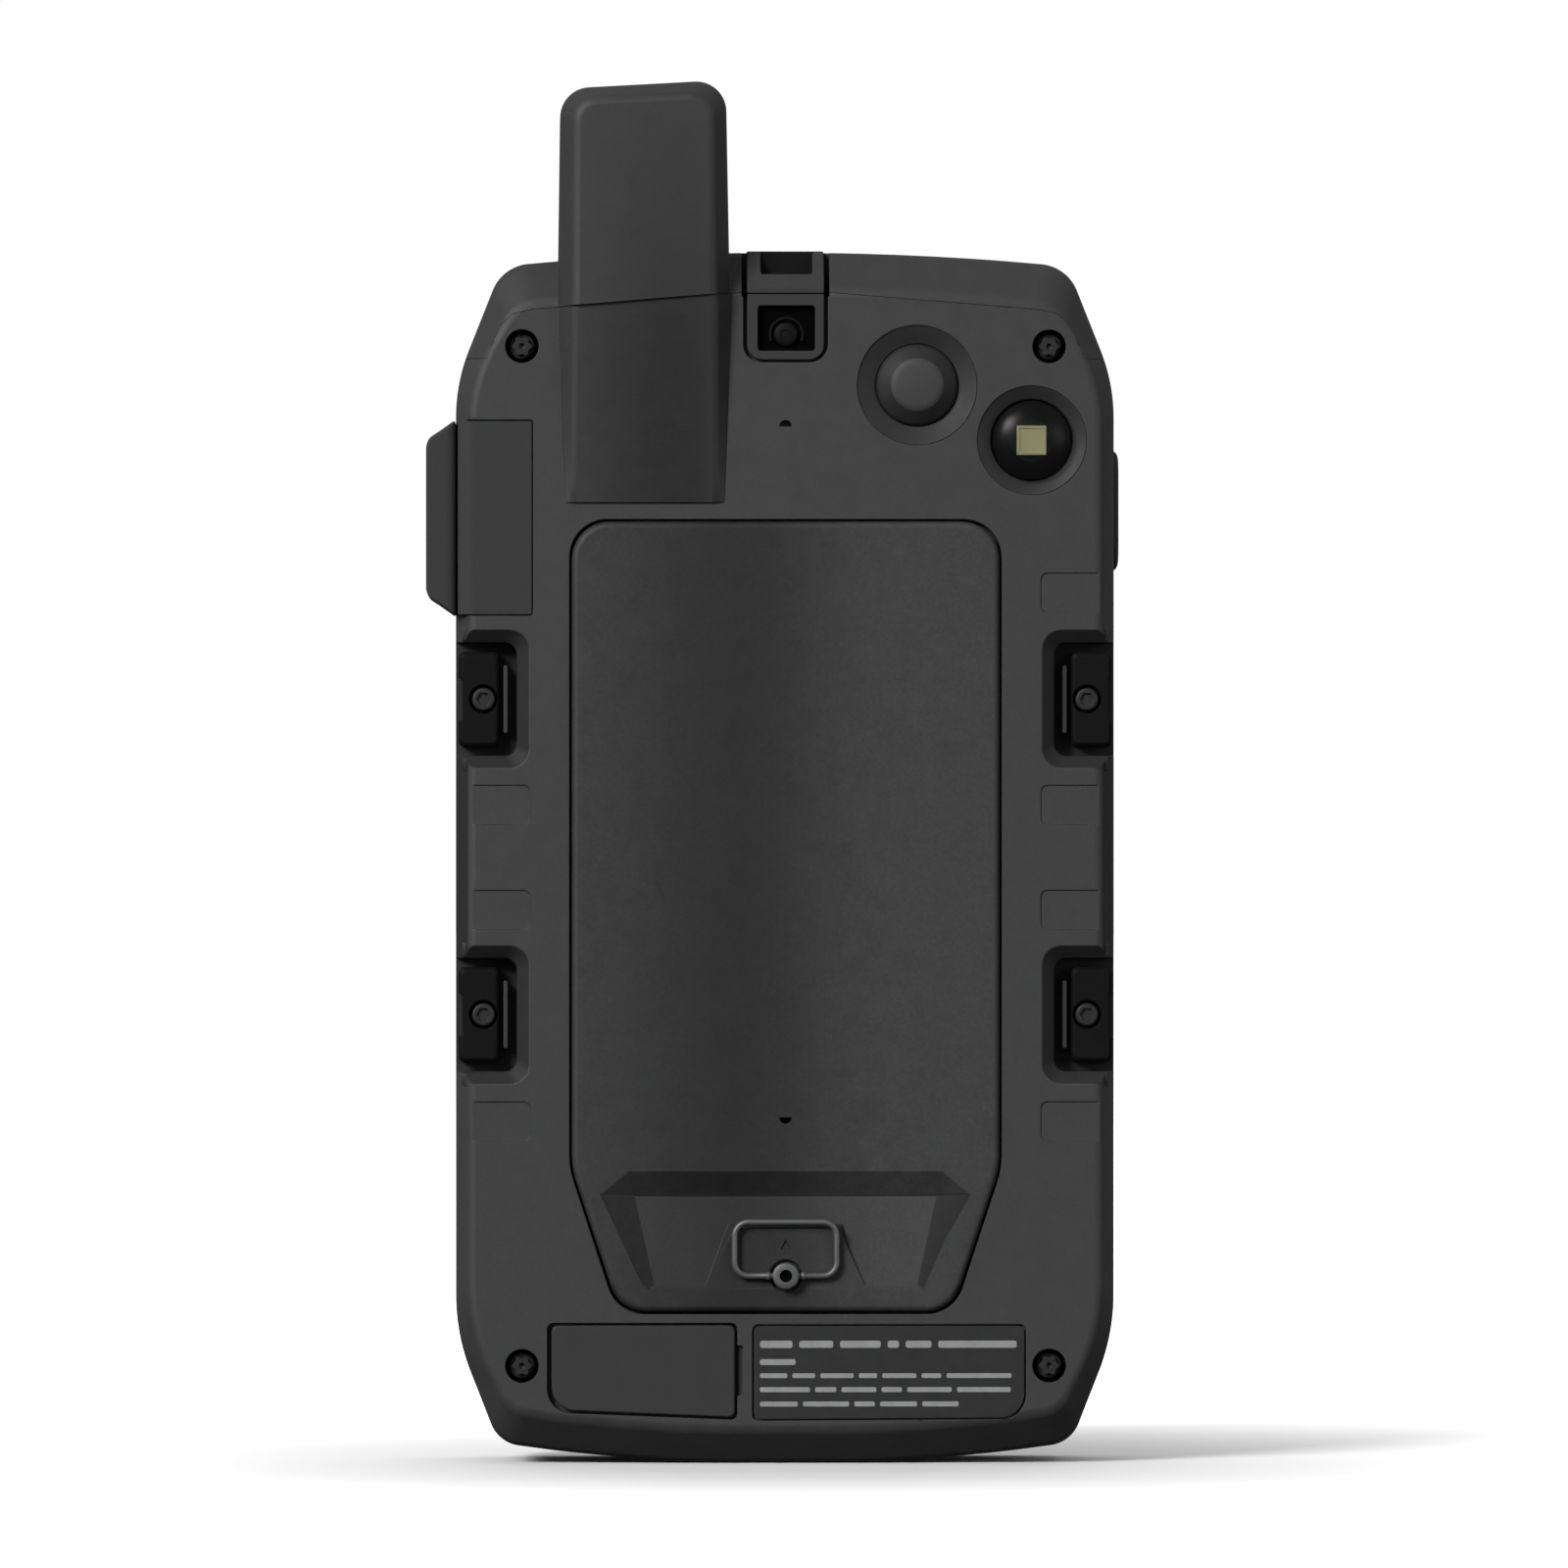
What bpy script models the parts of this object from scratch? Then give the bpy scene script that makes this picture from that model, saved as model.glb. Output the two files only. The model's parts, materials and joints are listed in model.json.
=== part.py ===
"""Emergency position beacon: a rugged handheld satellite beacon, as an assembly of separate pieces.

Frame: +Z is up, the rear face looks to -Y and the screen to +Y, and +X is the right side seen
from behind. The origin is on the flat of the base, in the centre plane. Lengths in this file are
in millimetres, angles in degrees; node() scales each solid to metres.
"""

import math

import bmesh
import bpy
from mathutils import Vector

MM = 0.001
GAP = 0.3  # clearance between pieces that touch

# Overall shape
HALF_WIDTH = 43.66
TOP_Z = 160.6
REAR_Y = -12.5
FULL_Y = -8.0  # where the rear edge bevel reaches the full outline
PARTING_Y = 6.0
FRONT_Y = 16.3
FRONT_BEVEL_Y = 13.2
WALL = 2.2
REAR_EDGE = (1.8, 5.2, 4.5)  # how far the rear face is inset at the sides, top and bottom
FRONT_EDGE = (2.4, 2.6, 2.4)
BASE_LAND = 9.0  # half-width of the flat that the beacon stands on
BASE_RADIUS = 256.0
CROWN_RADIUS = 389.0

# Radome of the satellite antenna, seen from behind
RADOME_LEFT = -30.0
RADOME_RIGHT = -7.5
RADOME_TOP = 183.0
RADOME_REAR_Y = -16.3
RADOME_FRONT_Y = 5.6
RIDGE_LEFT = -28.1  # flat back of the ridge that runs down the housing
RIDGE_RIGHT = -9.2
RIDGE_BOTTOM = 127.3
SEAM_Z = 155.6

# Battery door and bay
DOOR_HALF = 28.3
DOOR_TOP = 124.8
DOOR_TAPER_Z = 39.2
DOOR_BOTTOM = 20.2
DOOR_OUTER_Y = -13.3
DOOR_INNER_Y = -10.6
LEDGE_Y = -10.3
BAY_HALF = 25.5
BAY_BOTTOM = 44.0
BAY_TOP = 122.0
BAY_FLOOR_Y = -0.6
LATCH_Z = 25.0
RING_Y = -13.95
RING_WIDTH = 13.5
RING_HEIGHT = 7.1
RING_WIRE = 0.38
CAM_BORE = 1.25

# Fasteners and side pockets
CASE_SCREWS = [(-34.9, 148.0), (34.9, 148.0), (-34.9, 13.05), (34.9, 13.05)]
POCKETS = [(-1, 101.3), (1, 101.3), (-1, 59.5), (1, 59.5)]
POCKET_HALF_HEIGHT = 7.5
POCKET_INNER = 35.9
POCKET_FLOOR_Y = -7.0
INSERT_SCREW_X = 40.0
GRIPS = [(-1, 87.3), (1, 87.3), (-1, 73.4), (1, 73.4), (-1, 45.4), (1, 45.4), (1, 115.4)]
GRIP_HALF_HEIGHT = 2.6
GRIP_INNER = 33.8

# Controls and covers
SOS_Z = 125.3
SOS_Y = -3.0
SOS_HINGE = (-43.4, -12.0, SOS_Z)
POWER_Z = 126.4
POWER_Y = -3.0
USB_HINGE = (-30.5, -11.9, 12.5)
PORT_HINGE = (0.0, -12.5, 155.0)
PORT_HALF = 5.3
DISH_DEPTH = 0.8
HALF_MOON_RADIUS = 0.78
CAMERA = (17.4, 142.9)
FLASH = (32.6, 135.6)

COLOURS = {  # material: base colour, roughness, metallic
    "housing_plastic": ((0.048, 0.049, 0.050), 0.62, 0.0),
    "radome_plastic": ((0.040, 0.041, 0.042), 0.58, 0.0),
    "door_plastic": ((0.036, 0.037, 0.038), 0.66, 0.0),
    "front_plastic": ((0.022, 0.022, 0.023), 0.60, 0.0),
    "rubber": ((0.026, 0.027, 0.028), 0.80, 0.0),
    "black_plastic": ((0.009, 0.009, 0.010), 0.50, 0.0),
    "label_film": ((0.017, 0.017, 0.018), 0.45, 0.0),
    "glass": ((0.012, 0.013, 0.015), 0.08, 0.0),
    "clear_lens": ((0.20, 0.20, 0.19), 0.12, 0.0),
    "led_phosphor": ((0.62, 0.60, 0.28), 0.45, 0.0),
    "black_steel": ((0.030, 0.030, 0.032), 0.38, 0.9),
    "bright_steel": ((0.42, 0.42, 0.43), 0.32, 1.0),
    "aluminium": ((0.50, 0.50, 0.51), 0.40, 1.0),
    "gold_contact": ((0.72, 0.52, 0.20), 0.30, 1.0),
    "board_green": ((0.010, 0.055, 0.030), 0.45, 0.0),
    "ceramic": ((0.42, 0.40, 0.36), 0.55, 0.0),
    "seal_rubber": ((0.012, 0.012, 0.012), 0.85, 0.0),
    "battery_wrap": ((0.055, 0.056, 0.060), 0.50, 0.0),
}

AXES = {
    "X": lambda a, b, along: (along, a, b),
    "Y": lambda a, b, along: (a, along, b),
    "Z": lambda a, b, along: (a, b, along),
}


# ---- Solids: each is (points, faces), in millimetres ----

def loft(levels, axis="Y"):
    """One closed solid through (height, outline) levels, which have equally many points."""
    place = AXES[axis]
    count = len(levels[0][1])
    points = [place(a, b, height) for height, outline in levels for a, b in outline]
    faces = []
    for start in range(0, count * (len(levels) - 1), count):
        for i in range(count):
            j = (i + 1) % count
            faces.append((start + i, start + j, start + count + j, start + count + i))
    faces.append(tuple(range(count)))
    faces.append(tuple(range(len(points) - count, len(points))))
    return points, faces


def prism(outline, low, high, axis="Y"):
    return loft([(low, outline), (high, outline)], axis)


def ring(outer, inner, low, high, axis="Y"):
    """A closed frame between two outlines of equally many points."""
    place = AXES[axis]
    count = len(outer)
    loops = [(low, outer), (high, outer), (high, inner), (low, inner)]
    points = [place(a, b, height) for height, outline in loops for a, b in outline]
    faces = []
    for loop in range(4):
        start = loop * count
        after = (loop + 1) % 4 * count
        for i in range(count):
            j = (i + 1) % count
            faces.append((start + i, start + j, after + j, after + i))
    return points, faces


def box(x, y, z):
    """A block between two limits on each axis."""
    return prism([(x[0], z[0]), (x[1], z[0]), (x[1], z[1]), (x[0], z[1])], y[0], y[1])


def turned(profile, centre, axis="Y", steps=24):
    """A solid of revolution from (radius, height) points, whose first and last radius is 0."""
    place = AXES[axis]
    a0, b0 = centre
    points = [place(a0, b0, profile[0][1])]
    for radius, height in profile[1:-1]:
        for i in range(steps):
            turn = 2 * math.pi * i / steps
            points.append(place(a0 + radius * math.cos(turn), b0 + radius * math.sin(turn), height))
    points.append(place(a0, b0, profile[-1][1]))
    last = len(points) - 1
    rings = len(profile) - 2
    faces = []
    for i in range(steps):
        j = (i + 1) % steps
        faces.append((0, 1 + j, 1 + i))
        faces.append((last, last - steps + i, last - steps + j))
        for level in range(rings - 1):
            near = 1 + level * steps
            faces.append((near + i, near + j, near + steps + j, near + steps + i))
    return points, faces


def cylinder(radius, low, high, centre, axis="Y", steps=24):
    return turned([(0, low), (radius, low), (radius, high), (0, high)], centre, axis, steps)


def rounded(corners):
    """An outline from (a, b, radius, steps) corners; a radius of 0 keeps the corner sharp."""
    outline = []
    for index, (a, b, radius, steps) in enumerate(corners):
        here = Vector((a, b))
        if not radius:
            outline.append((a, b))
            continue
        back = (Vector(corners[index - 1][:2]) - here).normalized()
        on = (Vector(corners[(index + 1) % len(corners)][:2]) - here).normalized()
        half = back.angle(on) / 2
        centre = here + (back + on).normalized() * radius / math.sin(half)
        first = here + back * radius / math.tan(half) - centre
        last = here + on * radius / math.tan(half) - centre
        sweep = first.angle_signed(last)
        for i in range(steps + 1):
            turn = -sweep * i / steps
            x = first.x * math.cos(turn) - first.y * math.sin(turn)
            y = first.x * math.sin(turn) + first.y * math.cos(turn)
            outline.append((centre.x + x, centre.y + y))
    return outline


def rounded_rect(a, b, radius, steps=4):
    """An outline between two limits on each axis, with equal corner radii."""
    corners = [(a[0], b[0]), (a[1], b[0]), (a[1], b[1]), (a[0], b[1])]
    return rounded([(p, q, radius, steps) for p, q in corners])


def body_outline(side=0.0, top=0.0, bottom=0.0):
    """The beacon's outline from behind, inset by these amounts."""

    def base(x):
        return (x * x - BASE_LAND * BASE_LAND) / (2 * BASE_RADIUS) + bottom

    def crown(x):
        return TOP_Z - x * x / (2 * CROWN_RADIUS) - top

    wide = HALF_WIDTH - side
    corners = [
        (BASE_LAND, base(BASE_LAND), 0, 0),
        (18.0, base(18.0), 0, 0),
        (28.0, base(28.0), 0, 0),
        (38.0 - 0.9 * side, base(38.0), 4.6, 4),
        (wide, 17.0, 28.0, 4),
        (wide, 143.3, 24.0, 4),
        (37.5 - side, crown(37.5), 5.6, 4),
        (25.0, crown(25.0), 0, 0),
        (12.5, crown(12.5), 0, 0),
        (0.0, crown(0.0), 0, 0),
    ]
    half = rounded([*corners, (-12.5, crown(12.5), 0, 0)])[:-1]
    return half + [(-x, z) for x, z in reversed(half[:-1])]


def seam_region(shift, far):
    """Everything on the far side of the seam between the top cap and the rear housing."""
    half = [(45.0, 146.4), (39.5, 146.4), (38.8, 148.7), (37.6, 150.9), (36.1, 152.3), (33.4, 152.9)]
    line = half + [(0.0, SEAM_Z)] + [(-x, z) for x, z in reversed(half)]
    line = [(x, z + shift) for x, z in line]
    return prism([(45.0, far), *line, (-45.0, far)], -25.0, 25.0)


def door_outline(grow):
    """The battery door's outline, grown by this much."""
    wide = DOOR_HALF + grow
    right = [
        (22.0 + grow, DOOR_BOTTOM - grow, 5.0, 4),
        (wide, DOOR_TAPER_Z, 12.0, 3),
        (wide, DOOR_TOP + grow, 5.0, 4),
    ]
    left = [(-x, z, radius, steps) for x, z, radius, steps in reversed(right)]
    return rounded([*right, *left])


# ---- Objects ----

def clear_scene():
    for obj in list(bpy.data.objects):
        bpy.data.objects.remove(obj, do_unlink=True)


def material(name):
    if name in bpy.data.materials:
        return bpy.data.materials[name]
    colour, roughness, metallic = COLOURS[name]
    made = bpy.data.materials.new(name)
    made.use_nodes = True
    shader = made.node_tree.nodes["Principled BSDF"]
    shader.inputs["Base Color"].default_value = (*colour, 1.0)
    shader.inputs["Roughness"].default_value = roughness
    shader.inputs["Metallic"].default_value = metallic
    made.diffuse_color = (*colour, 1.0)
    return made


def mesh_object(name, solids, pivot):
    """An object of these solids, with its origin at the pivot."""
    shape = bmesh.new()
    for points, faces in solids:
        corners = [shape.verts.new((Vector(p) - Vector(pivot)) * MM) for p in points]
        for face in faces:
            shape.faces.new([corners[i] for i in face])
    bmesh.ops.recalc_face_normals(shape, faces=shape.faces)
    mesh = bpy.data.meshes.new(name)
    shape.to_mesh(mesh)
    shape.free()
    mesh.shade_smooth()
    mesh.set_sharp_from_angle(angle=math.radians(32))
    obj = bpy.data.objects.new(name, mesh)
    obj.location = Vector(pivot) * MM
    bpy.context.scene.collection.objects.link(obj)
    return obj


def node(name, slot, solid, pivot=(0.0, 0.0, 0.0)):
    """One piece of the beacon. Moving pieces have their pivot on the joint's axis."""
    obj = mesh_object(name, [solid], pivot)
    obj.data.materials.append(material(slot))
    return obj


def reshape(obj, operation, purpose, *solids):
    """Joins these solids to an object, or cuts them from it. They don't touch each other."""
    tool = mesh_object(f"{obj.name}.{purpose}", solids, (0.0, 0.0, 0.0))
    tool.hide_render = True
    tool.display_type = "WIRE"
    modifier = obj.modifiers.new(purpose, "BOOLEAN")
    modifier.operation = operation
    modifier.solver = "MANIFOLD"  # the shells share many planes with the blocks joined to them
    modifier.object = tool


def join(obj, purpose, *solids):
    reshape(obj, "UNION", purpose, *solids)


def cut(obj, purpose, *solids):
    reshape(obj, "DIFFERENCE", purpose, *solids)


# ---- Case ----

def shell_blank():
    """The solid that the rear housing and the top cap are both made from."""
    rear = (REAR_Y, body_outline(*REAR_EDGE))
    return loft([rear, (FULL_Y, body_outline()), (PARTING_Y, body_outline())])


def shell_cavity():
    side, top, bottom = REAR_EDGE
    rear = body_outline(side + 1.6, top + 1.4, bottom + 1.6)
    full = body_outline(WALL, WALL, WALL)
    return loft([(REAR_Y + WALL, rear), (FULL_Y + 1.4, full), (PARTING_Y + 1, full)])


def gasket_groove():
    return ring(body_outline(0.6, 0.6, 0.6), body_outline(1.6, 1.6, 1.6), PARTING_Y - 1.2, PARTING_Y + 1)


def antenna_ridge():
    """The ridge below the radome, which sinks into the rear face towards its lower end."""

    def section(share):
        back = REAR_Y - 0.4 - 3.4 * share
        left = RIDGE_LEFT - 1.0 - 1.1 * share
        right = RIDGE_RIGHT + 1.0 + 1.1 * share
        return [
            (left, REAR_Y + 1.0),
            (left, REAR_Y - 0.3 * share),
            (RIDGE_LEFT, back),
            (RIDGE_RIGHT, back),
            (right, REAR_Y - 0.3 * share),
            (right, REAR_Y + 1.0),
        ]

    return loft([(RIDGE_BOTTOM, section(0.0)), (SEAM_Z + 3.0, section(1.0))], "Z")


def dish(centre, outer, inner, floor):
    """The conical dish that a dome sits in."""
    high = REAR_Y - 1.0
    rim = [(0, high), (outer, high), (outer, REAR_Y)]
    profile = [*rim, (inner, REAR_Y + DISH_DEPTH), (inner, floor), (0, floor)]
    return turned(profile, centre)


def half_moon(z, low, high, flat_down):
    """A small half-round hole."""
    rise = HALF_MOON_RADIUS if flat_down else -HALF_MOON_RADIUS
    outline = []
    for i in range(7):
        turn = math.pi * i / 6
        outline.append((HALF_MOON_RADIUS * math.cos(turn), z + rise * math.sin(turn)))
    return prism(outline, low, high)


def side_outline(y, z, half_y, half_z, radius):
    return rounded_rect((y - half_y, y + half_y), (z - half_z, z + half_z), radius, 3)


def pocket(side, z):
    inner = sorted((side * POCKET_INNER, side * (HALF_WIDTH + 2)))
    rim = sorted((side * 34.2, side * (HALF_WIDTH + 2)))
    deep = rounded_rect(inner, (z - POCKET_HALF_HEIGHT, z + POCKET_HALF_HEIGHT), 1.6, 3)
    wide = rounded_rect(rim, (z - 9.2, z + 9.2), 2.6, 3)
    return loft([(POCKET_FLOOR_Y, deep), (-11.0, deep), (REAR_Y, wide), (REAR_Y - 1, wide)])


def grip(side, z):
    x = sorted((side * GRIP_INNER, side * (HALF_WIDTH + 2)))
    return box(x, (REAR_Y - 1, REAR_Y + 0.35), (z - GRIP_HALF_HEIGHT, z + GRIP_HALF_HEIGHT))


def usb_outline(grow, left):
    """The USB cap's outline; its bottom edge rises to the left with the case."""
    return rounded([
        (-6.7 + grow, 6.2 - grow, 0.8, 2),
        (-6.7 + grow, 18.4 + grow, 0.8, 2),
        (left, 18.4 + grow, 0.8, 2),
        (left, 7.2 - grow, 3.2, 4),
    ])


def label_outline(grow):
    return rounded([
        (31.6 + grow, 6.2 - grow, 3.2, 4),
        (31.6 + grow, 18.3 + grow, 0.8, 2),
        (-4.2 - grow, 18.3 + grow, 0.8, 2),
        (-4.2 - grow, 6.0 - grow, 0.8, 2),
    ])


def screw_hole(x, z):
    profile = [(0, REAR_Y - 1), (2.2, REAR_Y - 1), (2.2, -10.4), (1.25, -10.4), (1.25, 8.0), (0, 8.0)]
    return turned(profile, (x, z), steps=16)


def make_rear_housing():
    rear = node("rear_housing", "housing_plastic", shell_blank())
    join(rear, "ridge", antenna_ridge())
    cut(rear, "seam", seam_region(-GAP / 2, 190.0))
    cut(rear, "cavity", shell_cavity())
    pad = prism(door_outline(1.8), -11.4, -8.0)
    posts = [cylinder(3.0, -11.2, PARTING_Y, place, steps=16) for place in CASE_SCREWS[:2]]
    for side in (-1, 1):
        posts.append(box(sorted((side * 32.1, side * 37.7)), (-11.2, PARTING_Y), (10.9, 16.0)))
    blocks = []
    for side, z in POCKETS:
        x = sorted((side * 34.2, side * (HALF_WIDTH - 0.9)))
        blocks.append(box(x, (-11.3, -3.6), (z - 9.4, z + 9.4)))
    shelf = box((-6.4, 6.4), (-11.4, -3.0), (152.0, 154.5))
    join(rear, "inner_blocks", pad, shelf, *posts, *blocks)
    bay_tub = box((-27.2, 27.2), (-9.4, 1.0), (42.2, 123.8))
    latch_tub = box((-17.4, 17.4), (-9.4, -4.9), (20.8, 41.2))
    join(rear, "tubs", bay_tub, latch_tub)
    cut(rear, "gasket_groove", gasket_groove())
    strap = box((-46.0, -33.3), (REAR_Y - 1, -11.2), (112.2, 138.4))
    sos_hole = prism(side_outline(SOS_Y, SOS_Z, 4.3, 4.3, 4.2), -46.0, -39.0, "X")
    power_hole = prism(side_outline(POWER_Y, POWER_Z, 3.8, 8.3, 3.7), 39.0, 46.0, "X")
    cut(
        rear, "recesses", strap, sos_hole, power_hole,
        prism(door_outline(GAP), REAR_Y - 2, LEDGE_Y),
        prism(usb_outline(0.35, -31.6), REAR_Y - 2, -11.0),
        prism(label_outline(0.25), REAR_Y - 2, -11.9),
        half_moon(137.4, REAR_Y - 2, -9.0, True),
        *[pocket(side, z) for side, z in POCKETS],
        *[screw_hole(x, z) for x, z in CASE_SCREWS],
    )
    cut(
        rear, "openings",
        box((-BAY_HALF, BAY_HALF), (-15.0, BAY_FLOOR_Y), (BAY_BOTTOM, BAY_TOP)),
        box((-15.8, 15.8), (-15.0, -6.3), (22.0, 40.0)),
        box((-24.2, -13.8), (-14.0, -9.0), (10.1, 14.9)),
        box((-6.9, -5.7), (-14.0, -11.3), (9.1, 15.7)),
        dish(CAMERA, 7.9, 5.75, -11.3),
        dish(FLASH, 7.2, 5.5, -11.4),
        cylinder(2.1, 150.0, 156.0, (0.0, -7.8), "Z", 12),
        *[grip(side, z) for side, z in GRIPS],
        *[cylinder(1.1, -8.0, -4.7, (side * INSERT_SCREW_X, z), steps=8) for side, z in POCKETS],
    )
    cut(rear, "torch_hole", cylinder(3.6, -12.0, -9.0, FLASH))


def make_top_cap():
    cap = node("top_cap", "radome_plastic", shell_blank())

    def radome(inset, top):
        return rounded([
            (RADOME_RIGHT + 0.4 - inset, 140.0, 0, 0),
            (RADOME_RIGHT - 0.4 - inset, RADOME_TOP + 0.3 - top, 4.0, 4),
            (RADOME_LEFT + 0.2 + inset, RADOME_TOP - 0.9 - top, 4.0, 4),
            (RADOME_LEFT - 0.35 + inset, 140.0, 0, 0),
        ])

    ridge = rounded([
        (RIDGE_RIGHT, 140.0, 0, 0),
        (RIDGE_RIGHT - 0.3, RADOME_TOP - 1.6, 3.2, 4),
        (RIDGE_LEFT + 0.2, RADOME_TOP - 2.5, 3.2, 4),
        (RIDGE_LEFT, 140.0, 0, 0),
    ])
    join(cap, "radome", loft([
        (RADOME_REAR_Y, ridge),
        (REAR_Y - 0.3, radome(0.0, 0.0)),
        (RADOME_FRONT_Y - 3.0, radome(0.0, 0.0)),
        (RADOME_FRONT_Y, radome(2.0, 1.8)),
    ]))
    cut(cap, "seam", seam_region(GAP / 2, -20.0))
    cut(cap, "cavity", shell_cavity())
    cut(cap, "gasket_groove", gasket_groove())
    low = SEAM_Z - 0.2
    port_walls = [(-11.6, low), (-11.6, 155.9), (-8.6, 159.3), (-4.6, 159.3), (-4.6, low)]
    join(cap, "port_walls", prism(port_walls, -7.0, 7.0, "X"))
    cut(cap, "antenna_space", box((-27.8, -9.8), (-13.8, 3.4), (148.0, 180.0)))
    cut(cap, "port_notch", box((-PORT_HALF - 0.5, PORT_HALF + 0.5), (-15.0, -6.2), (150.0, 165.0)))


def make_front_housing():
    full = body_outline()
    front = node("front_housing", "front_plastic", loft([
        (PARTING_Y + GAP, full), (FRONT_BEVEL_Y, full), (FRONT_Y, body_outline(*FRONT_EDGE)),
    ]))
    cut(front, "cavity", prism(body_outline(WALL, WALL, WALL), PARTING_Y - 1, 12.6))
    join(front, "bosses", *[cylinder(2.8, PARTING_Y + 0.5, 13.2, place, steps=16) for place in CASE_SCREWS])
    cut(
        front, "glass_seat",
        prism(rounded_rect((-35.8, 35.8), (21.7, 146.3), 6.0), 13.9, 18.0),
        *[cylinder(1.2, PARTING_Y - 1, 11.6, place, steps=8) for place in CASE_SCREWS],
        prism(rounded_rect((-6.0, 6.0), (149.6, 151.2), 0.78, 3), 11.0, 18.0),
    )
    cut(front, "window", prism(rounded_rect((-33.8, 33.8), (24.0, 144.0), 4.0), 11.0, 15.0))
    node("case_gasket", "seal_rubber", ring(
        body_outline(0.8, 0.8, 0.8), body_outline(1.4, 1.4, 1.4), PARTING_Y - 0.9, PARTING_Y,
    ))


# ---- Battery compartment ----

def make_battery_door():
    door = node("battery_door", "door_plastic", loft([
        (DOOR_OUTER_Y, door_outline(-0.7)),
        (DOOR_OUTER_Y + 0.7, door_outline(0.0)),
        (DOOR_INNER_Y, door_outline(0.0)),
    ]))
    join(door, "latch_block", box((-9.0, 9.0), (DOOR_INNER_Y - 0.4, -8.2), (22.6, 34.0)))
    low = DOOR_OUTER_Y - 0.2
    scoop_points = [
        (-20.8, low, 39.2), (20.8, low, 39.2), (24.8, low, 35.9), (19.0, low, 22.6),
        (-19.0, low, 22.6), (-24.8, low, 35.9),
        (-20.0, -11.6, 35.6), (20.0, -11.6, 35.6), (17.4, -13.1, 23.8), (-17.4, -13.1, 23.8),
    ]
    scoop_faces = [
        (0, 1, 2, 3, 4, 5), (6, 7, 8, 9), (0, 1, 7, 6), (1, 2, 7), (2, 3, 8, 7), (3, 4, 9, 8),
        (4, 5, 6, 9), (5, 0, 6),
    ]
    cut(door, "scoop", (scoop_points, scoop_faces))
    join(door, "latch_island", loft([
        (-11.3, [(-11.6, 22.4), (11.6, 22.4), (8.0, 32.2), (-8.0, 32.2)]),
        (DOOR_OUTER_Y + 0.15, [(-10.9, 23.0), (10.9, 23.0), (7.0, 31.2), (-7.0, 31.2)]),
    ]))
    seal_groove = ring(
        rounded_rect((-27.7, 27.7), (41.3, 124.4), 4.2), rounded_rect((-26.1, 26.1), (42.9, 122.8), 2.6),
        DOOR_INNER_Y - 1.0, DOOR_INNER_Y + 1.0,
    )
    stud_hole = [(0, -16.0), (2.1, -16.0), (2.1, -12.5), (1.35, -12.5), (1.35, -7.0), (0, -7.0)]
    cut(
        door, "stud_hole", seal_groove, half_moon(45.9, -16.0, -9.0, False),
        turned(stud_hole, (0.0, LATCH_Z), steps=16),
    )
    node("battery_door_seal", "seal_rubber", ring(
        rounded_rect((-27.4, 27.4), (41.6, 124.1), 3.9), rounded_rect((-26.4, 26.4), (42.6, 123.1), 2.9),
        DOOR_INNER_Y - 0.7, DOOR_INNER_Y + 0.15,
    ))


def make_latch():
    centre = (0.0, LATCH_Z)
    pivot = (0.0, RING_Y, LATCH_Z)
    stud = node("latch_stud", "bright_steel", turned([
        (0, -14.3), (0.75, -14.3), (0.75, -15.0), (1.55, -15.0), (1.75, -14.8), (1.75, -12.85),
        (1.05, -12.85), (1.05, -8.1), (0, -8.1),
    ], centre, steps=20), pivot)
    hole = cylinder(0.66, -3.0, 3.0, (RING_Y, LATCH_Z), "X", 12)
    cut(stud, "ring_hole", hole)
    cam_outline = rounded([
        (-1.9, 22.4, 1.2, 3), (1.9, 22.4, 1.2, 3), (1.6, 31.0, 1.4, 3), (-1.6, 31.0, 1.4, 3),
    ])
    cam_bore = []
    for i in range(len(cam_outline)):
        turn = 2 * math.pi * (i - 1.5) / len(cam_outline)
        cam_bore.append((CAM_BORE * math.sin(turn), LATCH_Z - CAM_BORE * math.cos(turn)))
    cam = ring(cam_outline, cam_bore, -7.9, -6.9)
    node("latch_cam", "bright_steel", cam, pivot)
    outline = rounded_rect((-RING_WIDTH / 2, RING_WIDTH / 2), (LATCH_Z, LATCH_Z + RING_HEIGHT), 1.8)
    path = bpy.data.curves.new("latch_ring", "CURVE")
    path.dimensions = "3D"
    path.bevel_depth = RING_WIRE * MM
    path.bevel_resolution = 2
    spline = path.splines.new("POLY")
    spline.points.add(len(outline) - 1)
    spline.use_cyclic_u = True
    for point, (x, z) in zip(spline.points, outline):
        point.co = (x * MM, 0.0, (z - LATCH_Z) * MM, 1.0)
    wire = bpy.data.objects.new("latch_ring", path)
    wire.location = Vector(pivot) * MM
    wire.data.materials.append(material("bright_steel"))
    bpy.context.scene.collection.objects.link(wire)


def make_battery():
    node("battery_pack", "battery_wrap", loft([
        (-10.1, rounded_rect((-24.4, 24.4), (45.4, 117.9), 2.0)),
        (-9.3, rounded_rect((-25.1, 25.1), (44.6, 118.7), 2.6)),
        (-3.4, rounded_rect((-25.1, 25.1), (44.6, 118.7), 2.6)),
        (-2.6, rounded_rect((-24.4, 24.4), (45.4, 117.9), 2.0)),
    ]))
    node("battery_contacts", "gold_contact", box((-10.0, 10.0), (-8.0, -1.0), (119.2, 121.7)))
    socket = node("memory_card_socket", "bright_steel", box((-7.0, 7.0), (-2.2, -0.9), (70.0, 85.0)))
    cut(socket, "slot", box((-5.8, 5.8), (-1.95, -1.15), (65.0, 83.0)))
    node("memory_card", "black_plastic", box((-5.5, 5.5), (-1.75, -1.35), (67.5, 82.5)))


# ---- Side pockets, screws ----

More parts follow.
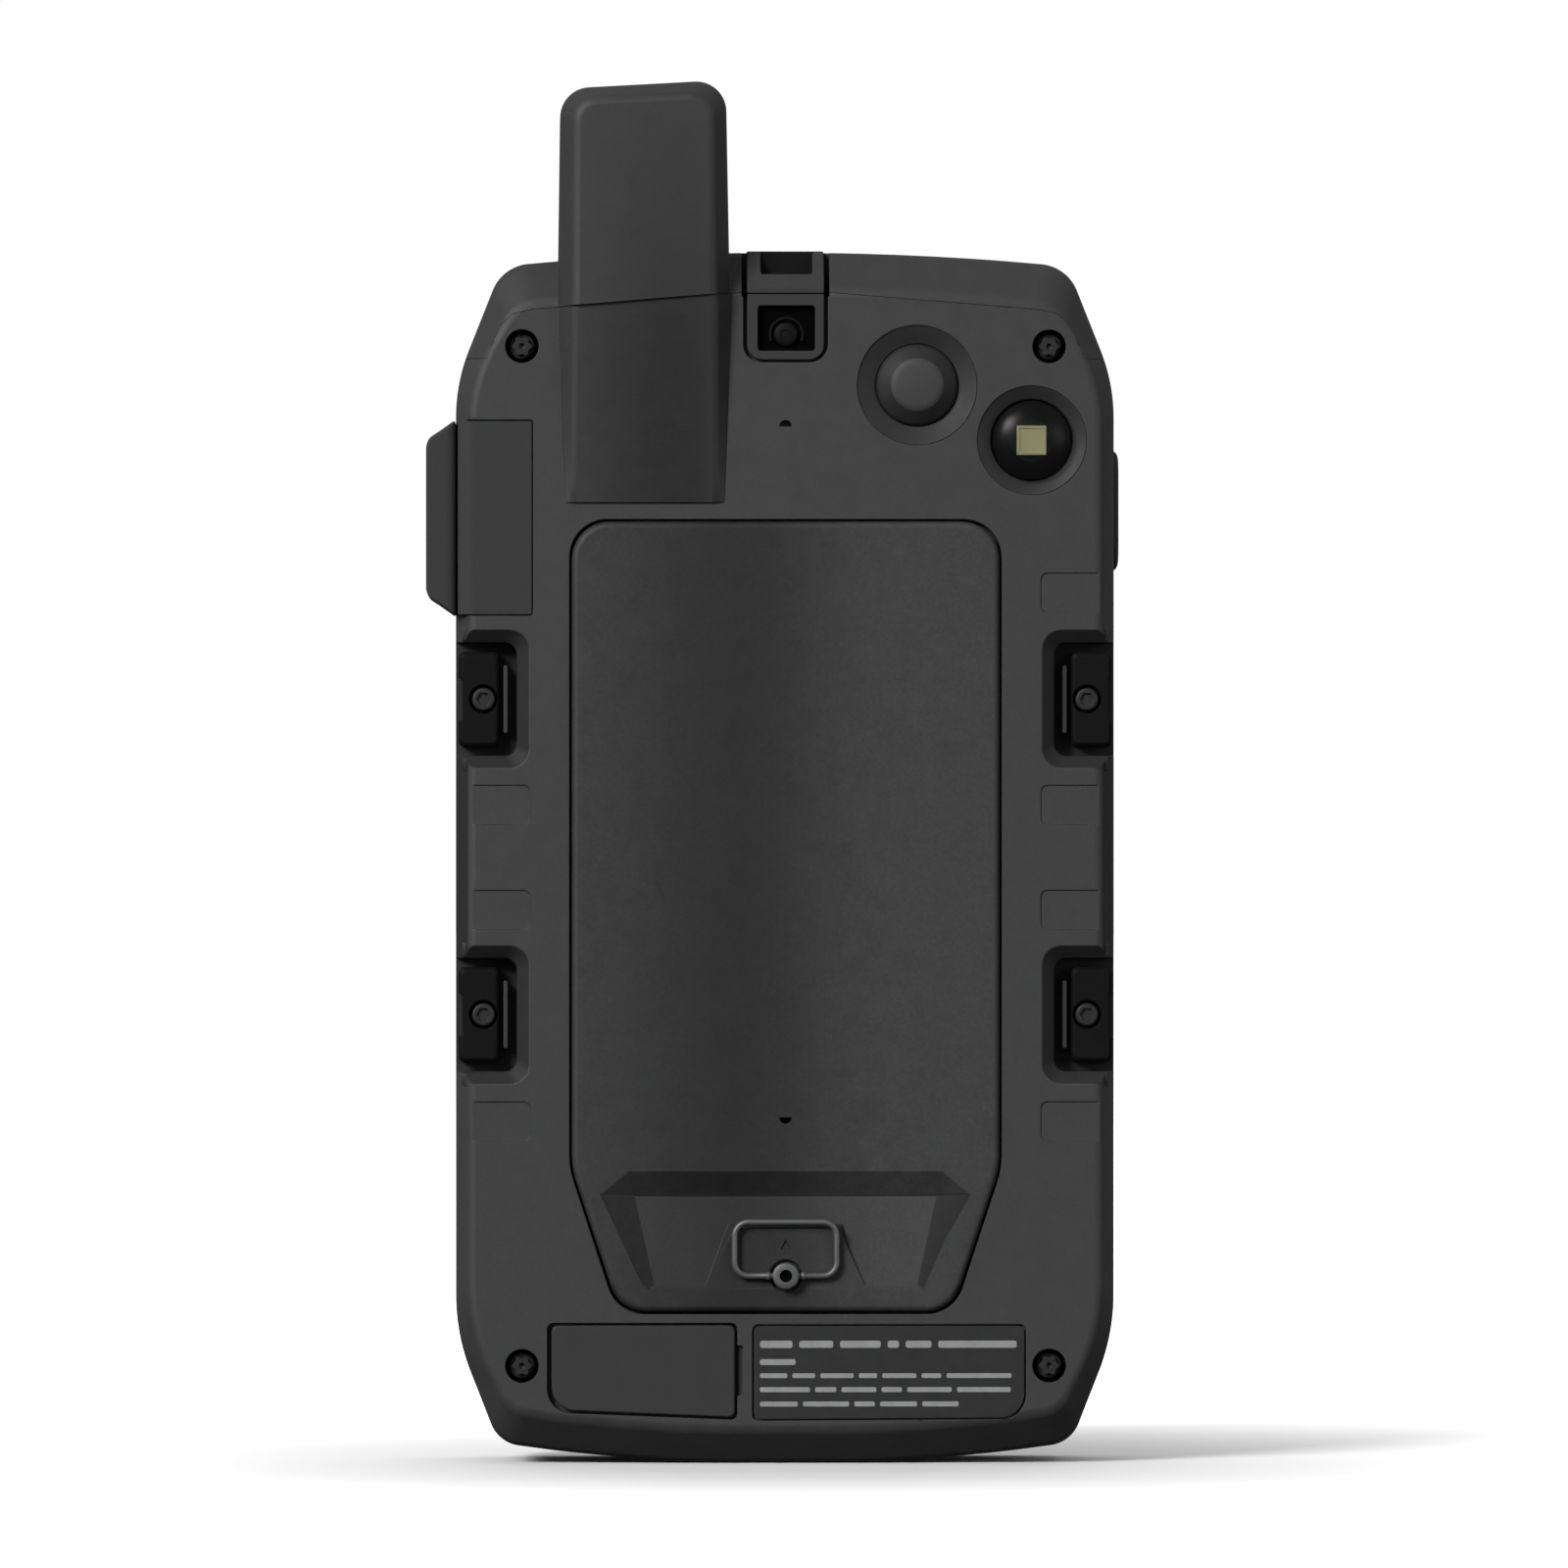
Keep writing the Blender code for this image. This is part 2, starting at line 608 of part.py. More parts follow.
def make_screw(name, x, z, head_y, shank_end, radius, shank):
    """A countersunk-seat screw with a drive socket in its head."""
    socket = radius * 0.5
    node(name, "black_steel", turned([
        (0, head_y + 0.5), (socket, head_y + 0.5), (socket, head_y), (radius - 0.2, head_y),
        (radius, head_y + 0.2), (radius, head_y + 1.1), (shank, head_y + 1.1),
        (shank, shank_end), (0, shank_end),
    ], (x, z), steps=12))


def make_fasteners():
    for number, (x, z) in enumerate(CASE_SCREWS, 1):
        make_screw(f"case_screw_{number}", x, z, -11.9, 11.0, 1.7, 0.9)
    for number, (side, z) in enumerate(POCKETS, 1):
        x = sorted((side * 37.8, side * 43.3))
        insert = node(f"pocket_insert_{number}", "black_plastic", loft([
            (-10.2, rounded_rect((x[0] + 0.4, x[1] - 0.4), (z - 5.9, z + 5.9), 0.6, 2)),
            (-9.8, rounded_rect(x, (z - 6.3, z + 6.3), 0.8, 2)),
            (POCKET_FLOOR_Y - GAP, rounded_rect(x, (z - 6.3, z + 6.3), 0.8, 2)),
        ]))
        seat = [(0, -11.0), (1.9, -11.0), (1.9, -8.6), (1.1, -8.6), (1.1, -6.0), (0, -6.0)]
        cut(insert, "screw_seat", turned(seat, (side * INSERT_SCREW_X, z), steps=16))
        make_screw(f"insert_screw_{number}", side * INSERT_SCREW_X, z, -10.0, -5.0, 1.5, 0.8)


# ---- Buttons and covers ----

def make_button(name, side, y, z, half_y, half_z, radius, slot):
    """A side button with a flange inside the wall, its origin at its outer face."""

    def outline(grow):
        return side_outline(y, z, half_y + grow, half_z + grow, radius + grow)

    proud = side * (HALF_WIDTH + 0.7)
    levels = [
        (proud, -0.6), (proud - side * 0.5, 0.0),
        (side * 41.1, 0.0), (side * 41.1, 0.8), (side * 40.4, 0.8),
    ]
    node(name, slot, loft([(x, outline(grow)) for x, grow in levels], "X"), (proud, y, z))
    switch = sorted((side * 39.5, side * 36.6))
    node(f"{name}_switch", "bright_steel", box(switch, (y - 2.2, y + 2.2), (z - 2.2, z + 2.2)))


def make_sos_cover():
    wedge = prism([
        (-43.96, 138.1), (-45.8, 136.8), (-47.2, 135.9), (-47.6, 134.9),
        (-47.6, 115.7), (-47.2, 114.7), (-45.8, 113.8), (-43.96, 112.5),
    ], -12.2, 5.2)
    cover = node("sos_cover", "rubber", wedge, SOS_HINGE)
    cut(cover, "button_room", box((-46.3, -42.0), (-9.0, 3.0), (118.0, 132.6)))
    node("sos_cover_strap", "rubber", box((-41.6, -33.6), (REAR_Y, -11.5), (112.5, 138.1)))


def make_usb():
    cap = node("usb_cap", "rubber", loft([
        (REAR_Y, usb_outline(0.0, -30.6)),
        (REAR_Y + 0.6, usb_outline(0.0, -31.1)),
        (REAR_Y + 1.2, usb_outline(0.0, -30.6)),
    ]), USB_HINGE)
    join(cap, "plug", box((-23.6, -14.4), (-11.7, -10.6), (10.6, 14.4)))
    receptacle = node("usb_receptacle", "bright_steel", box((-23.5, -14.5), (-10.2, -1.5), (10.9, 14.1)))
    cut(receptacle, "mouth", box((-22.9, -15.1), (-11.0, -4.0), (11.5, 13.5)))
    node("usb_board", "board_green", box((-30.0, -8.0), (-1.2, -0.2), (6.5, 18.5)))
    node("label_plate", "label_film", prism(label_outline(0.0), REAR_Y, REAR_Y + 0.3))


def make_antenna_port():
    wide = PORT_HALF
    cap = node("antenna_port_cap", "rubber", prism([
        (-12.5, 155.0), (-12.5, 155.6), (-8.4, 160.6), (-6.5, 160.8), (-6.5, 155.0),
    ], -wide, wide, "X"), PORT_HINGE)
    cut(cap, "finger_pull", box((-3.8, 3.8), (-14.0, -8.6), (157.6, 162.0)))
    anchor = node("port_cap_anchor", "rubber", prism(rounded([
        (-wide, 146.2, 2.2, 3), (wide, 146.2, 2.2, 3), (wide, 154.6, 0, 0), (-wide, 154.6, 0, 0),
    ]), REAR_Y - 0.3, -11.5))
    cut(anchor, "window", box((-3.8, 3.8), (-14.0, -12.0), (147.5, 153.3)))
    cut(anchor, "screw_hole", cylinder(1.0, -14.0, -10.0, (0.0, 149.6), steps=8))
    node("port_cap_screw", "black_steel", turned([
        (0, -12.6), (1.3, -12.6), (1.5, -12.5), (1.5, -12.3), (0.7, -12.3), (0.7, -10.6), (0, -10.6),
    ], (0.0, 149.6), steps=12))
    rear = bpy.data.objects["rear_housing"]
    cut(rear, "port_seat", prism(rounded([
        (-wide - GAP, 145.9, 2.4, 3), (wide + GAP, 145.9, 2.4, 3), (wide + GAP, 160.0, 0, 0),
        (-wide - GAP, 160.0, 0, 0),
    ]), REAR_Y - 1, -11.2))
    cut(rear, "port_notch", box((-wide - 0.5, wide + 0.5), (-15.0, -6.2), (154.6, 160.0)))
    cut(rear, "port_screw_hole", cylinder(1.0, -12.0, -9.0, (0.0, 149.6), steps=8))
    jack = node("antenna_connector", "gold_contact", cylinder(1.8, 146.0, 154.3, (0.0, -7.8), "Z", 12))
    cut(jack, "bore", cylinder(1.1, 151.0, 156.0, (0.0, -7.8), "Z", 12))


# ---- Torch, camera position, display, electronics ----

def make_torch():
    node("camera_blank", "housing_plastic", turned([
        (0, -14.3), (3.2, -14.3), (3.8, -14.15), (4.9, -13.5), (5.4, -12.9), (5.4, -11.6), (0, -11.6),
    ], CAMERA))
    node("torch_lens", "clear_lens", turned([
        (0, -14.6), (2.2, -14.5), (3.8, -14.1), (4.8, -13.4), (5.2, -12.8), (5.2, -11.8), (0, -11.8),
    ], FLASH))
    x, z = FLASH
    node("torch_led", "led_phosphor", box((x - 1.95, x + 1.95), (-11.5, -10.2), (z - 1.95, z + 1.95)))
    node("torch_board", "board_green", box((x - 5.0, x + 5.0), (-9.9, -8.9), (z - 5.0, z + 5.0)))


def make_display():
    node("screen_glass", "glass", loft([
        (14.2, rounded_rect((-35.5, 35.5), (22.0, 146.0), 5.7)),
        (15.1, rounded_rect((-35.5, 35.5), (22.0, 146.0), 5.7)),
        (15.4, rounded_rect((-35.2, 35.2), (22.3, 145.7), 5.4)),
    ]))
    node("lcd_module", "black_plastic", prism(rounded_rect((-33.4, 33.4), (25.2, 143.0), 4.0), 11.4, 13.9))
    node("display_frame", "aluminium", box((-38.0, 38.0), (9.8, 11.0), (18.0, 143.5)))


def make_electronics():
    wide = 38.0
    narrow = 30.5
    board = [
        (-narrow, 8.0), (narrow, 8.0), (narrow, 17.5), (wide, 17.5), (wide, 144.0), (narrow, 144.0),
        (narrow, 153.0), (-narrow, 153.0), (-narrow, 144.0), (-wide, 144.0), (-wide, 17.5), (-narrow, 17.5),
    ]
    node("main_board", "board_green", prism(board, 7.0, 8.2))
    node("shield_can", "aluminium", box((-22.0, 14.0), (3.6, 6.7), (84.0, 120.0)))
    node("navigation_antenna", "ceramic", box((12.0, 30.0), (2.6, 6.7), (128.0, 146.0)))
    node("sounder", "black_plastic", cylinder(5.4, 8.8, 12.2, (0.0, 150.4), steps=20))
    node("vent_membrane", "ceramic", cylinder(2.2, -10.0, -9.6, (0.0, 137.4), steps=16))
    core = rounded_rect((-25.8, -11.8), (-9.6, -1.2), 3.0, 3)
    node("satellite_antenna_core", "ceramic", prism(core, 151.0, 178.5, "Z"))
    node("satellite_antenna_film", "gold_contact", ring(
        rounded_rect((-26.6, -11.0), (-10.4, -0.4), 3.8, 3), rounded_rect((-26.1, -11.5), (-9.9, -0.9), 3.3, 3),
        156.0, 177.0, "Z",
    ))
    node("antenna_feed_board", "board_green", box((-26.0, -11.5), (-10.0, -1.0), (149.4, 150.6)))


clear_scene()
make_rear_housing()
make_top_cap()
make_front_housing()
make_battery_door()
make_latch()
make_battery()
make_fasteners()
make_button("sos_button", -1, SOS_Y, SOS_Z, 3.9, 3.9, 3.8, "black_plastic")
make_button("power_button", 1, POWER_Y, POWER_Z, 3.4, 7.9, 3.3, "rubber")
make_sos_cover()
make_usb()
make_antenna_port()
make_torch()
make_display()
make_electronics()
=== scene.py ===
"""Emergency position beacon: the looks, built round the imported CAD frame.

+X is the right side seen from behind, the rear face looks to -Y and +Z is up. Shapes are made in
millimetres and scaled to metres; the camera, lights and floor are in metres.
"""

import json
import math
import bmesh
import bpy
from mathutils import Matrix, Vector


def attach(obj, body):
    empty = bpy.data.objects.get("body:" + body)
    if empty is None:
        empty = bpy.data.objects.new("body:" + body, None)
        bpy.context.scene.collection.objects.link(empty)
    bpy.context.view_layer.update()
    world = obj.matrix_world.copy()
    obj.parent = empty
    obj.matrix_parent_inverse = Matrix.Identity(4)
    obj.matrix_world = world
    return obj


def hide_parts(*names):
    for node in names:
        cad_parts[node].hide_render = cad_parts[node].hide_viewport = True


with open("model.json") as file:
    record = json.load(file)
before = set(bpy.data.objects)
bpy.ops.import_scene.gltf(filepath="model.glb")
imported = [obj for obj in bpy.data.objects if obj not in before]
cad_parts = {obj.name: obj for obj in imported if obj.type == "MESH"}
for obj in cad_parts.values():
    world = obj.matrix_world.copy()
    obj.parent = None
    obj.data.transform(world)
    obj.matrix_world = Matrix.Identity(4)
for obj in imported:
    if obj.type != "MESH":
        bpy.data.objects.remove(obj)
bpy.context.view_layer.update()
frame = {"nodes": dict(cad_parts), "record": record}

MM = 0.001

# Overall shape
HALF_WIDTH = 43.66
TOP_Z = 160.6
REAR_Y = -12.5
FULL_Y = -8.0
PARTING_Y = 6.0
FRONT_Y = 16.3
FRONT_BEVEL_Y = 13.2
WALL = 2.2
REAR_EDGE = (1.8, 5.2, 4.5)
FRONT_EDGE = (2.4, 2.6, 2.4)
BASE_LAND = 9.0
BASE_RADIUS = 256.0
CROWN_RADIUS = 389.0
SEAM_Z = 155.6
SEAM_GAP = 0.07

# Radome and the ridge below it
RADOME_LEFT = -30.0
RADOME_RIGHT = -7.5
RADOME_TOP = 183.0
RADOME_REAR_Y = -16.3
RADOME_FRONT_Y = 5.6
RIDGE_LEFT = -28.1
RIDGE_RIGHT = -9.2
RIDGE_BOTTOM = 127.3
RIDGE_SETBACK = 0.9

# Battery door and latch
DOOR_HALF = 28.3
DOOR_TOP = 124.8
DOOR_TAPER_Z = 39.2
DOOR_BOTTOM = 20.2
DOOR_OUTER_Y = -13.3
DOOR_INNER_Y = -10.6
LATCH_Z = 25.0
RING_Y = -13.95
RING_WIDTH = 13.5
RING_HEIGHT = 7.1
RING_WIRE = 0.42

# Fasteners, pockets and grips
CASE_SCREWS = [(-34.9, 148.0), (34.9, 148.0), (-34.9, 13.05), (34.9, 13.05)]
POCKETS = [(-1, 101.3), (1, 101.3), (-1, 59.5), (1, 59.5)]
GRIPS = [(-1, 87.3), (1, 87.3), (-1, 73.4), (1, 73.4), (-1, 45.4), (1, 45.4), (1, 115.4)]
INSERT_SCREW_X = 40.0

# Controls
SOS_Y = -3.0
SOS_Z = 125.3
POWER_Y = -3.0
POWER_Z = 126.4
PORT_HALF = 5.3
CAMERA_SPOT = (17.4, 142.9)
TORCH_SPOT = (32.6, 135.6)
SOUND_HOLE = (0.0, 137.4)
DOOR_HOLE = (0.0, 45.9)
LEDGE_Y = -10.3

AXES = {
    "X": lambda a, b, along: (along, a, b),
    "Y": lambda a, b, along: (a, along, b),
    "Z": lambda a, b, along: (a, b, along),
}


# ---- Solids: each is (points, faces), in millimetres ----

def loft(levels, axis="Y"):
    """One closed solid through (height, outline) levels, which have equally many points."""
    place = AXES[axis]
    count = len(levels[0][1])
    points = [place(a, b, height) for height, outline in levels for a, b in outline]
    faces = []
    for start in range(0, count * (len(levels) - 1), count):
        for i in range(count):
            j = (i + 1) % count
            faces.append((start + i, start + j, start + count + j, start + count + i))
    faces.append(tuple(range(count)))
    faces.append(tuple(range(len(points) - count, len(points))))
    return points, faces


def prism(outline, low, high, axis="Y"):
    return loft([(low, outline), (high, outline)], axis)


def ring(outer, inner, low, high, axis="Y"):
    """A closed frame between two outlines of equally many points."""
    place = AXES[axis]
    count = len(outer)
    loops = [(low, outer), (high, outer), (high, inner), (low, inner)]
    points = [place(a, b, height) for height, outline in loops for a, b in outline]
    faces = []
    for loop in range(4):
        start = loop * count
        after = (loop + 1) % 4 * count
        for i in range(count):
            j = (i + 1) % count
            faces.append((start + i, start + j, after + j, after + i))
    return points, faces


def box(x, y, z):
    return prism([(x[0], z[0]), (x[1], z[0]), (x[1], z[1]), (x[0], z[1])], y[0], y[1])


def turned(profile, centre, axis="Y", steps=64):
    """A solid of revolution from (radius, height) points, whose first and last radius is 0."""
    place = AXES[axis]
    a0, b0 = centre
    points = [place(a0, b0, profile[0][1])]
    for radius, height in profile[1:-1]:
        for i in range(steps):
            turn = 2 * math.pi * i / steps
            points.append(place(a0 + radius * math.cos(turn), b0 + radius * math.sin(turn), height))
    points.append(place(a0, b0, profile[-1][1]))
    last = len(points) - 1
    faces = []
    for i in range(steps):
        j = (i + 1) % steps
        faces.append((0, 1 + j, 1 + i))
        faces.append((last, last - steps + i, last - steps + j))
        for level in range(len(profile) - 3):
            near = 1 + level * steps
            faces.append((near + i, near + j, near + steps + j, near + steps + i))
    return points, faces


def cylinder(radius, low, high, centre, axis="Y", steps=48):
    return turned([(0, low), (radius, low), (radius, high), (0, high)], centre, axis, steps)


def rounded(corners):
    """An outline from (a, b, radius, steps) corners; a radius of 0 keeps the corner sharp."""
    outline = []
    for index, (a, b, radius, steps) in enumerate(corners):
        here = Vector((a, b))
        if not radius:
            outline.append((a, b))
            continue
        back = (Vector(corners[index - 1][:2]) - here).normalized()
        on = (Vector(corners[(index + 1) % len(corners)][:2]) - here).normalized()
        half = back.angle(on) / 2
        centre = here + (back + on).normalized() * radius / math.sin(half)
        first = here + back * radius / math.tan(half) - centre
        last = here + on * radius / math.tan(half) - centre
        sweep = first.angle_signed(last)
        for i in range(steps + 1):
            turn = -sweep * i / steps
            x = first.x * math.cos(turn) - first.y * math.sin(turn)
            y = first.x * math.sin(turn) + first.y * math.cos(turn)
            outline.append((centre.x + x, centre.y + y))
    return outline


def rounded_rect(a, b, radius, steps=8):
    corners = [(a[0], b[0]), (a[1], b[0]), (a[1], b[1]), (a[0], b[1])]
    return rounded([(p, q, radius, steps) for p, q in corners])


def body_outline(side=0.0, top=0.0, bottom=0.0):
    """The beacon's outline from behind, inset by these amounts."""

    def base(x):
        return (x * x - BASE_LAND * BASE_LAND) / (2 * BASE_RADIUS) + bottom

    def crown(x):
        return TOP_Z - x * x / (2 * CROWN_RADIUS) - top

    wide = HALF_WIDTH - side
    low = [(x, base(x), 0, 0) for x in (BASE_LAND, 13.0, 18.0, 23.0, 28.0, 31.0)]
    high = [(x, crown(x), 0, 0) for x in (29.0, 25.0, 20.0, 15.0, 10.0, 5.0, 0.0)]
    corners = [
        *low,
        (38.0 - 0.9 * side, base(38.0), 4.6, 10),
        (wide, 17.0, 28.0, 12),
        (wide, 143.3, 24.0, 12),
        (37.5 - side, crown(37.5), 5.6, 12),
        *high,
    ]
    half = rounded([*corners, (-5.0, crown(5.0), 0, 0)])[:-1]
    return half + [(-x, z) for x, z in reversed(half[:-1])]


def seam_region(shift, far):
    """Everything on the far side of the seam between the top cap and the rear housing."""
    half = [(45.0, 146.4), (39.5, 146.4), (38.8, 148.7), (37.6, 150.9), (36.1, 152.3), (33.4, 152.9)]
    line = half + [(0.0, SEAM_Z)] + [(-x, z) for x, z in reversed(half)]
    line = [(x, z + shift) for x, z in line]
    return prism([(45.0, far), *line, (-45.0, far)], -25.0, 25.0)


def door_outline(grow):
    wide = DOOR_HALF + grow
    right = [
        (22.0 + grow, DOOR_BOTTOM - grow, 5.0, 12),
        (wide, DOOR_TAPER_Z, 12.0, 8),
        (wide, DOOR_TOP + grow, 5.0, 12),
    ]
    left = [(-x, z, radius, steps) for x, z, radius, steps in reversed(right)]
    return rounded([*right, *left])


# ---- Pieces ----

def mesh_object(name, solids):
    shape = bmesh.new()
    for points, faces in solids:
        corners = [shape.verts.new(Vector(p) * MM) for p in points]
        for face in faces:
            shape.faces.new([corners[i] for i in face])
    bmesh.ops.recalc_face_normals(shape, faces=shape.faces)
    mesh = bpy.data.meshes.new(name)
    shape.to_mesh(mesh)
    shape.free()
    obj = bpy.data.objects.new(name, mesh)
    bpy.context.scene.collection.objects.link(obj)
    return obj


def reshape(obj, operation, solids):
    """Joins these solids to an object or cuts them from it, and keeps only the result."""
    tool = mesh_object("tool", solids)
    modifier = obj.modifiers.new("reshape", "BOOLEAN")
    modifier.operation = operation
    modifier.solver = "MANIFOLD"
    modifier.object = tool
    graph = bpy.context.evaluated_depsgraph_get()
    graph.update()
    made = bpy.data.meshes.new_from_object(obj.evaluated_get(graph))
    obj.modifiers.clear()
    before = obj.data
    obj.data = made
    bpy.data.meshes.remove(before)
    spent = tool.data
    bpy.data.objects.remove(tool)
    bpy.data.meshes.remove(spent)


def join(obj, *solids):
    reshape(obj, "UNION", solids)


def cut(obj, *solids):
    reshape(obj, "DIFFERENCE", solids)


def ease(obj, width, segments=3, angle=30.0, keep=None):
    """Rounds every edge sharper than this angle. Flat faces are merged, apart from those that keep picks."""
    shape = bmesh.new()
    shape.from_mesh(obj.data)
    bmesh.ops.remove_doubles(shape, verts=shape.verts, dist=0.004 * MM)
    bmesh.ops.dissolve_degenerate(shape, edges=shape.edges, dist=0.002 * MM)
    flat = [edge for edge in shape.edges if not (keep and all(keep(face) for face in edge.link_faces))]
    bmesh.ops.dissolve_limit(shape, angle_limit=math.radians(0.05), verts=shape.verts, edges=flat)
    sharp = [
        edge for edge in shape.edges
        if len(edge.link_faces) == 2 and edge.calc_face_angle(0.0) > math.radians(angle)
    ]
    bmesh.ops.bevel(
        shape, geom=sharp, offset=width * MM, offset_type="OFFSET", segments=segments, profile=0.5,
        affect="EDGES", clamp_overlap=False, loop_slide=True,
    )
    bmesh.ops.remove_doubles(shape, verts=shape.verts, dist=0.004 * MM)
    shape.to_mesh(obj.data)
    shape.free()


def place(obj, body, slot, *nodes):
    """Gives a finished piece its shading, its material, its body and the CAD nodes it stands for."""
    obj.data.shade_smooth()
    obj.data.set_sharp_from_angle(angle=math.radians(50))
    normals = obj.modifiers.new("normals", "WEIGHTED_NORMAL")
    normals.keep_sharp = True
    obj.data.materials.clear()
    obj.data.materials.append(MATERIALS[slot])
    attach(obj, body)
    if nodes:
        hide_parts(*nodes)
    return obj


# ---- Materials ----

def refinish(obj, finish, inside):
    """Gives the faces whose centres pass this test another material."""
    obj.data.materials.append(MATERIALS[finish])
    index = len(obj.data.materials) - 1
    for face in obj.data.polygons:
        if inside(*(face.center / MM)):
            face.material_index = index


def tint(colour, share):
    return tuple(channel * share for channel in colour) + (1.0,)


def painted_shade_across(tree, place_of, ramp, stops, fade):
    """The ramp's colour, darker or lighter along X by (millimetres, share) stops, fading out with height:
    painted shade and painted light.
    """
    split = tree.nodes.new("ShaderNodeSeparateXYZ")
    span = tree.nodes.new("ShaderNodeMapRange")
    span.inputs["From Min"].default_value = stops[0][0] * MM
    span.inputs["From Max"].default_value = stops[-1][0] * MM
    shares = tree.nodes.new("ShaderNodeValToRGB")
    shares.color_ramp.interpolation = "B_SPLINE"
    length = stops[-1][0] - stops[0][0]
    elements = shares.color_ramp.elements
    while len(elements) < len(stops):
        elements.new(0.5)
    for element, (x, share) in zip(elements, stops):
        element.position = (x - stops[0][0]) / length
        element.color = (share, share, share, 1.0)
    product = tree.nodes.new("ShaderNodeMix")
    product.data_type = "RGBA"
    product.blend_type = "MULTIPLY"
    tree.links.new(place_of.outputs["Object"], split.inputs["Vector"])
    height = tree.nodes.new("ShaderNodeMapRange")
    height.inputs["From Min"].default_value = fade[0] * MM
    height.inputs["From Max"].default_value = fade[1] * MM
    height.inputs["To Min"].default_value = 1.0
    height.inputs["To Max"].default_value = 0.25
    tree.links.new(split.outputs["Z"], height.inputs["Value"])
    tree.links.new(height.outputs["Result"], product.inputs["Factor"])
    tree.links.new(split.outputs["X"], span.inputs["Value"])
    tree.links.new(span.outputs["Result"], shares.inputs["Fac"])
    tree.links.new(ramp.outputs["Color"], product.inputs["A"])
    tree.links.new(shares.outputs["Color"], product.inputs["B"])
    return product.outputs["Result"]


def surface(
    name, colour, roughness, metallic=0.0, grain=0.3, depth=0.012, mottle=3.0, spread=0.12, specular=0.5,
    across=(), fade=(400.0, 500.0),
):
    """A material with moulded grain, soft colour mottling and uneven gloss; across adds painted shade and
    light along X. Sizes in millimetres.
    """
    made = bpy.data.materials.new(name)
    made.use_nodes = True
    tree = made.node_tree
    shader = tree.nodes["Principled BSDF"]
    shader.inputs["Metallic"].default_value = metallic
    shader.inputs["Specular IOR Level"].default_value = specular
    place_of = tree.nodes.new("ShaderNodeTexCoord")
    fine = tree.nodes.new("ShaderNodeTexNoise")
    fine.inputs["Scale"].default_value = 1.0 / (grain * MM)
    fine.inputs["Detail"].default_value = 3.0
    fine.inputs["Roughness"].default_value = 0.6
    broad = tree.nodes.new("ShaderNodeTexNoise")
    broad.inputs["Scale"].default_value = 1.0 / (mottle * MM)
    broad.inputs["Detail"].default_value = 5.0
    broad.inputs["Roughness"].default_value = 0.65
    for texture in (fine, broad):
        tree.links.new(place_of.outputs["Object"], texture.inputs["Vector"])
    mixed = tree.nodes.new("ShaderNodeMix")
    mixed.data_type = "FLOAT"
    mixed.inputs["Factor"].default_value = 0.5
    tree.links.new(fine.outputs["Fac"], mixed.inputs["A"])
    tree.links.new(broad.outputs["Fac"], mixed.inputs["B"])
    ramp = tree.nodes.new("ShaderNodeValToRGB")
    ramp.color_ramp.elements[0].position = 0.34
    ramp.color_ramp.elements[0].color = tint(colour, 1.0 - spread)
    ramp.color_ramp.elements[1].position = 0.66
    ramp.color_ramp.elements[1].color = tint(colour, 1.0 + spread)
    tree.links.new(mixed.outputs["Result"], ramp.inputs["Fac"])
    # across paints shade and light along X into the colour
    if across:
        tree.links.new(painted_shade_across(tree, place_of, ramp, across, fade), shader.inputs["Base Color"])
    else:
        tree.links.new(ramp.outputs["Color"], shader.inputs["Base Color"])
    gloss = tree.nodes.new("ShaderNodeMapRange")
    gloss.inputs["From Min"].default_value = 0.3
    gloss.inputs["From Max"].default_value = 0.7
    gloss.inputs["To Min"].default_value = roughness - 0.05
    gloss.inputs["To Max"].default_value = roughness + 0.05
    tree.links.new(broad.outputs["Fac"], gloss.inputs["Value"])
    tree.links.new(gloss.outputs["Result"], shader.inputs["Roughness"])
    if depth:
        bump = tree.nodes.new("ShaderNodeBump")
        bump.inputs["Strength"].default_value = 0.6
        bump.inputs["Distance"].default_value = depth * MM
        tree.links.new(fine.outputs["Fac"], bump.inputs["Height"])
        tree.links.new(bump.outputs["Normal"], shader.inputs["Normal"])
    return made


def grey(level):
    return (level, level * 1.01, level * 1.02)


# Painted shade: how much of its colour the door and the ridge keep along X, as (millimetres, share) stops, a
# dark band down the ridge and left of the door's middle.
DOOR_PAINTED_SHADE = [
    (-30.0, 0.84), (-24.0, 0.76), (-16.0, 0.5), (-8.0, 0.3), (-1.0, 0.4), (6.0, 0.8), (14.0, 1.0),
    (30.0, 1.02),
]
RIDGE_PAINTED_SHADE = [
    (-34.0, 1.1), (-27.5, 1.0), (-23.0, 0.7), (-18.0, 0.4), (-12.0, 0.35), (-7.5, 0.8), (-2.0, 1.1),
    (6.0, 1.1),
]

